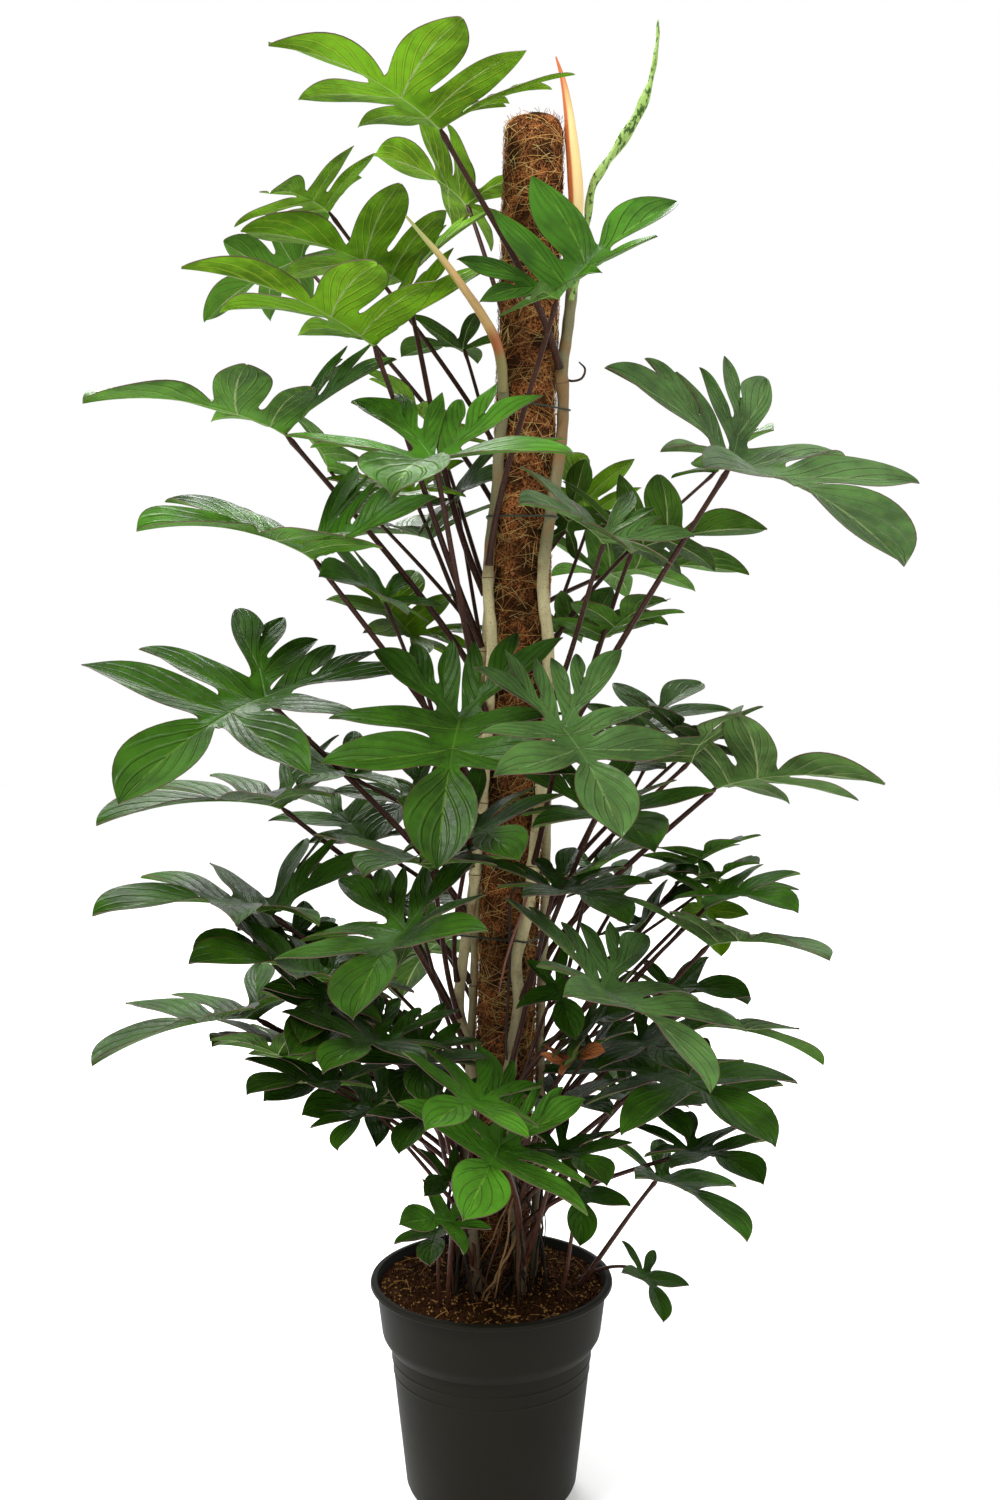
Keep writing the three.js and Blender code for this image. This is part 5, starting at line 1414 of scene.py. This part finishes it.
def make_soil(finishes):
    """Lumpy peat with loose crumbs and shreds of bark."""
    rng = np.random.default_rng(17)
    shape = Shape()
    edge = SOIL_EDGE
    top = SOIL_HIGH.z - 0.003

    def level(x, y):
        r = np.hypot(x, y) / edge
        bumps = 0.0018 * np.sin(x * 210 + 3 * np.sin(y * 90)) * np.cos(y * 190 + 2 * np.sin(x * 130))
        return top - 0.002 * r**2 + bumps * (1 - r**6)

    rings = [0.0, *np.linspace(0.012, edge, 22)]
    facets = 90
    turns = 2 * np.pi * np.arange(facets) / facets
    verts, faces = [(0, 0, float(level(0, 0)))], []
    for r in rings[1:]:
        for t in turns:
            x, y = r * math.cos(t), r * math.sin(t)
            verts.append((x, y, float(level(x, y))))
    low = [(0.1195, 0.187), (0.1098, 0.172), (0.0918, 0.02), (0.0823, 0.0098)]
    for r, z in low:
        verts.extend((r * math.cos(t), r * math.sin(t), z) for t in turns)
    last = len(rings) - 1 + len(low)
    for k in range(facets):
        m = (k + 1) % facets
        faces.append([0, 1 + k, 1 + m])
        for i in range(last - 1):
            a, b = 1 + i * facets, 1 + (i + 1) * facets
            faces.append([a + k, b + k, b + m, a + m])
        faces.append([1 + (last - 1) * facets + m, 1 + (last - 1) * facets + k, len(verts)])
    verts.append((0, 0, 0.0098))
    shape.add(verts, faces, 0)
    for _ in range(sizes().crumbs):
        r, t = edge * math.sqrt(rng.uniform(0.0, 0.97)), rng.uniform(0, 2 * np.pi)
        x, y = r * math.cos(t), r * math.sin(t)
        size = rng.uniform(0.0005, 0.002)
        corners, triangles = crumb(rng, size)
        kind = int(rng.choice([0, 1, 2], p=[0.66, 0.16, 0.18]))
        shape.add(corners + (x, y, level(x, y) + size * 0.3), triangles, kind)
    for _ in range(SHREDS):
        r, t = edge * math.sqrt(rng.uniform(0.0, 0.9)), rng.uniform(0, 2 * np.pi)
        x, y = r * math.cos(t), r * math.sin(t)
        heading = rng.uniform(0, 2 * np.pi)
        reach = rng.uniform(0.004, 0.014)
        along = np.array([math.cos(heading), math.sin(heading), rng.normal(0, 0.15)]) * reach
        middle = np.array([x, y, level(x, y) + 0.001])
        if np.hypot(*(middle + along)[:2]) > edge or np.hypot(*(middle - along)[:2]) > edge:
            continue
        line = bezier([middle - along, middle + UP * 0.002, middle + along], np.linspace(0, 1, 4))
        add_tube(shape, line, rng.uniform(0.0003, 0.0006), 4, int(rng.choice([1, 2])))
    return shape.build("soil", finishes, sharp=30)


# Ties

TIES = {"tie_upper": 1.208, "tie_middle": 1.085, "tie_lower": 0.621}


def make_tie(name, finishes):
    """A wire drawn tight round the pole and its stems, as one closed loop."""
    z = TIES[name]
    held = [(pole_axis(z), SLEEVE_RADIUS + 0.0011)]
    held += [(stem_at(s, z), STEM_RADII[s]) for s, line in STEM_SAMPLES.items() if line[-1][2] > z]
    turns = np.linspace(0, 2 * np.pi, 120, endpoint=False)
    ways = np.stack([np.cos(turns), np.sin(turns), 0 * turns], -1)
    reach = np.max([ways @ p + r for p, r in held], axis=0) + 0.0013
    # The envelope of the lines that bound the bundle is its outline
    slope = (np.roll(reach, -1) - np.roll(reach, 1)) / (turns[2] - turns[0])
    side = np.stack([-np.sin(turns), np.cos(turns), 0 * turns], -1)
    line = ways * reach[:, None] + side * slope[:, None]
    line[:, 2] = z + 0.0008 * np.sin(2 * turns)
    shape = Shape()
    add_tube(shape, line, 0.001, 8, 0, closed=True)
    return shape.build(name, finishes)


# Operators


class PLANT_OT_pot(bpy.types.Operator):
    """Build the pot"""

    bl_idname = "plant.pot"
    bl_label = "Pot"

    def execute(self, context):
        look = plain_finish("pot", tuple(colours().pot), 0.5, 0.08, 14, 0.0002, specular=0.04)
        settle(make_pot([look]), "pot", "pot")
        return {"FINISHED"}


class PLANT_OT_soil(bpy.types.Operator):
    """Build the soil and its crumbs"""

    bl_idname = "plant.soil"
    bl_label = "Soil"

    def execute(self, context):
        base = tuple(colours().soil)
        looks = [
            plain_finish("soil", base, 0.95, 0.45, 90, 0.002, specular=0.05),
            plain_finish("soil_bark", (0.5, 0.37, 0.2), 0.85, 0.4, 120, 0.0005, specular=0.1),
            plain_finish("soil_dark", shade(base, 0.6), 0.9, 0.3, 120, 0.0005, specular=0.05),
        ]
        settle(make_soil(looks), "soil", "soil")
        return {"FINISHED"}


class PLANT_OT_pole(bpy.types.Operator):
    """Build the coir sleeve and its thread, and finish the core"""

    bl_idname = "plant.pole"
    bl_label = "Pole"

    def execute(self, context):
        base = tuple(colours().coir)
        looks = [
            coir_finish(base),
            plain_finish("coir_fibre", shade(base, 1.15), 0.85, 0.45, 60, specular=0.05, coir=True),
            plain_finish("coir_gold", (0.95, 0.68, 0.43), 0.7, 0.35, 60, specular=0.2, coir=True),
            plain_finish("coir_dark", shade(base, 0.4), 0.9, 0.4, 60, specular=0.03),
        ]
        settle(make_sleeve(looks), "coir", "coir_sleeve")
        gold = tuple(colours().thread)
        thread = plain_finish("thread", gold, 0.6, 0.25, 120, specular=0.2, coir=True)
        settle(make_thread([thread]), "coir")
        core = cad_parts["pole_core"]
        wood = Finish("wood", roughness=0.8)
        grain = wood.noise(40, 4, stretch=(1, 1, 0.08))
        wood.colour(wood.mix(grain, linear((0.5, 0.38, 0.24)), linear((0.72, 0.58, 0.4))))
        for holder in core.material_slots:
            holder.material = wood.material
        return {"FINISHED"}


class PLANT_OT_stems(bpy.types.Operator):
    """Build the stems with their young growth, the sheath and the roots"""

    bl_idname = "plant.stems"
    bl_label = "Stems"

    def execute(self, context):
        base = tuple(colours().stem)
        tan = Finish("shoot", roughness=0.45)
        split = tan.node("ShaderNodeSeparateXYZ")
        tan.join(tan.surface(), split.inputs[0])
        run = split.outputs[1]
        skin = tan.mix(tan.steps(run, 0.19, 0.27), linear((0.48, 0.44, 0.24)), linear((0.6, 0.34, 0.16)))
        skin = tan.mix(tan.steps(run, 0.3, 0.4), skin, linear((0.72, 0.58, 0.36)))
        tan.colour(tan.mix(tan.steps(run, 0.6, 0.9), skin, linear((0.66, 0.66, 0.4))))
        green = Finish("furled_leaf", roughness=0.45, specular=0.1)
        fold = green.noise(230, 4, stretch=(1, 1, 0.5))
        skin = green.mix(green.noise(30, 3), linear((0.4, 0.52, 0.22)), linear((0.62, 0.72, 0.42)))
        # Painted shade: the dark green streaks stand for shade in the creases of the rolled blade.
        green.colour(green.mix(green.steps(fold, 0.5, 0.6, 0, 0.9), skin, linear((0.13, 0.25, 0.06))))
        green.bump(fold, 0.0015, 0.7)
        looks = [
            stem_finish("stem", base),
            plain_finish("stem_scar", (0.4, 0.27, 0.16), 0.8, 0.3, 150, 0.0004),
            tan.material,
            green.material,
            plain_finish("root", (0.5, 0.3, 0.25), 0.5, 0.2, 120),
            plain_finish("old_root", (0.2, 0.15, 0.12), 0.6, 0.25, 120, specular=0.15),
        ]
        for name in STEM_SAMPLES:
            settle(make_stem(name, looks), "stem", f"stem_{name}")
        brown = plain_finish("root_brown", (0.22, 0.14, 0.085), 0.8, 0.35, 150, 0.0004, specular=0.1)
        tan_root = plain_finish("root_tan", (0.42, 0.32, 0.21), 0.7, 0.35, 150, 0.0004, specular=0.1)
        dark = plain_finish("root_dark", (0.1, 0.08, 0.055), 0.7, 0.3, 150, 0.0004, specular=0.1)
        settle(make_roots([brown, tan_root, dark]), "stem")
        sheath = Finish("sheath", roughness=0.42, specular=0.2)
        split = sheath.node("ShaderNodeSeparateXYZ")
        sheath.join(sheath.surface(), split.inputs[0])
        around, along = split.outputs[0], split.outputs[1]
        streak = sheath.noise(120, 3, stretch=(1, 1, 0.12))
        flush = sheath.mix(streak, linear((0.58, 0.24, 0.12)), linear((0.74, 0.42, 0.22)))
        cream = sheath.mix(streak, linear((0.8, 0.66, 0.42)), linear((0.88, 0.8, 0.58)))
        cream = sheath.mix(sheath.steps(along, 0.62, 0.95), cream, flush)
        fold = sheath.math("ABSOLUTE", sheath.math("SUBTRACT", around, 0.5))
        sheath.colour(sheath.mix(sheath.steps(fold, 0.15, 0.23), flush, cream))
        sheath.bump(streak, 0.0006, 0.5)
        settle(make_sheath([sheath.material]), "sheath", "top_sheath")
        return {"FINISHED"}


class PLANT_OT_leaves(bpy.types.Operator):
    """Build every leaf with its stalk"""

    bl_idname = "plant.leaves"
    bl_label = "Leaves"

    def execute(self, context):
        stalk = stalk_finish()
        looks = {}
        for tone in ("bright", "fresh", "mid", "deep", "sheen_grey", "dry"):
            display = tuple(getattr(colours(), tone))
            pale = tuple(0.86 * c + 0.14 * g for c, g in zip(display, (0.6, 0.72, 0.4)))
            edge = plain_finish(f"leaf_{tone}_edge", (0.3, 0.16, 0.15), 0.5, 0.2, 100)
            upper = leaf_finish(f"leaf_{tone}", display)
            under = leaf_finish(f"leaf_{tone}_under", pale, under=True)
            looks[tone] = [upper, under, edge, stalk]
        grown = []
        for number, leaf in enumerate(LEAVES, 1):
            name = f"leaf_{number:02d}"
            shape = leaf_shape(leaf, number, FINE)
            grown.append(Grown(shape))
            settle(shape.build(name, looks[leaf.tone]), "leaf", name)
        for number, leaf in enumerate(INNER_LEAVES, 1):
            shape, stand = clear_leaf(leaf, 60 + number, grown)
            grown.append(stand)
            settle(shape.build(f"inner_leaf_{number:02d}", looks[leaf.tone]), "leaf")
        return {"FINISHED"}


class PLANT_OT_ties(bpy.types.Operator):
    """Build the wire ties"""

    bl_idname = "plant.ties"
    bl_label = "Ties"

    def execute(self, context):
        wire = plain_finish("tie_wire", (0.1, 0.16, 0.11), 0.4, 0.1, 60)
        for name in TIES:
            settle(make_tie(name, [wire]), "tie_wire", name)
        return {"FINISHED"}


class PLANT_OT_stage(bpy.types.Operator):
    """Lay the floor, and place the lights and the camera"""

    bl_idname = "plant.stage"
    bl_label = "Stage"

    def execute(self, context):
        scene = context.scene
        bpy.ops.mesh.primitive_plane_add(size=60, location=(0, 0, -0.0005))
        floor = context.object
        floor.name = "floor"
        look = Finish("floor", roughness=0.9, specular=0.1)
        look.colour(linear((0.96, 0.96, 0.96)))
        look.shader.inputs["Emission Color"].default_value = (1, 1, 1, 1)
        look.shader.inputs["Emission Strength"].default_value = 0.08
        floor.data.materials.append(look.material)
        world = bpy.data.worlds.new("studio")
        world.use_nodes = True
        world.node_tree.nodes["Background"].inputs["Color"].default_value = (1, 1, 1, 1)
        world.node_tree.nodes["Background"].inputs["Strength"].default_value = 1.0
        scene.world = world
        for name, place, size, power in (
            ("key", (-2.7, -2.4, 6.0), 2.2, 560),
            ("fill", (2.6, -1.4, 1.8), 1.6, 18),
            ("back", (-0.8, 3.4, 4.6), 2.0, 130),
        ):
            light = bpy.data.lights.new(name, "AREA")
            light.energy = power
            light.size = size
            lamp = bpy.data.objects.new(name, light)
            lamp.location = place
            aim = np.array([0, 0, 0.9]) - np.array(place)
            lamp.rotation_euler = Vector(aim).to_track_quat("-Z", "Y").to_euler()
            scene.collection.objects.link(lamp)
        camera = bpy.data.cameras.new("camera")
        camera.sensor_width = SENSOR
        camera.lens = SENSOR * EYE_FOCAL / PICTURE[1]
        eye = bpy.data.objects.new("camera", camera)
        eye.location = EYE
        eye.rotation_euler = (math.pi / 2, 0, 0)
        scene.collection.objects.link(eye)
        scene.camera = eye
        scene.view_settings.view_transform = "Standard"
        return {"FINISHED"}


STEPS = (
    PLANT_OT_pot,
    PLANT_OT_soil,
    PLANT_OT_pole,
    PLANT_OT_stems,
    PLANT_OT_leaves,
    PLANT_OT_ties,
    PLANT_OT_stage,
)


class PLANT_PT_panel(bpy.types.Panel):
    """The steps that build the plant"""

    bl_label = "Potted Philodendron"
    bl_idname = "PLANT_PT_panel"
    bl_space_type = "VIEW_3D"
    bl_region_type = "UI"
    bl_category = "Plant"

    def draw(self, context):
        for step in STEPS:
            self.layout.operator(step.bl_idname)
        for settings in (context.scene.plant_sizes, context.scene.plant_colours):
            box = self.layout.box()
            for name in settings.bl_rna.properties.keys():
                if name not in ("rna_type", "name"):
                    box.prop(settings, name)


CLASSES = (PlantSizes, PlantColours, *STEPS, PLANT_PT_panel)


def register():
    for cls in CLASSES:
        bpy.utils.register_class(cls)
    bpy.types.Scene.plant_sizes = PointerProperty(type=PlantSizes)
    bpy.types.Scene.plant_colours = PointerProperty(type=PlantColours)


def unregister():
    del bpy.types.Scene.plant_colours
    del bpy.types.Scene.plant_sizes
    for cls in reversed(CLASSES):
        bpy.utils.unregister_class(cls)


def main():
    register()
    bpy.ops.plant.pot()
    bpy.ops.plant.soil()
    bpy.ops.plant.pole()
    bpy.ops.plant.stems()
    bpy.ops.plant.leaves()
    bpy.ops.plant.ties()
    bpy.ops.plant.stage()


if __name__ == "__main__":
    main()
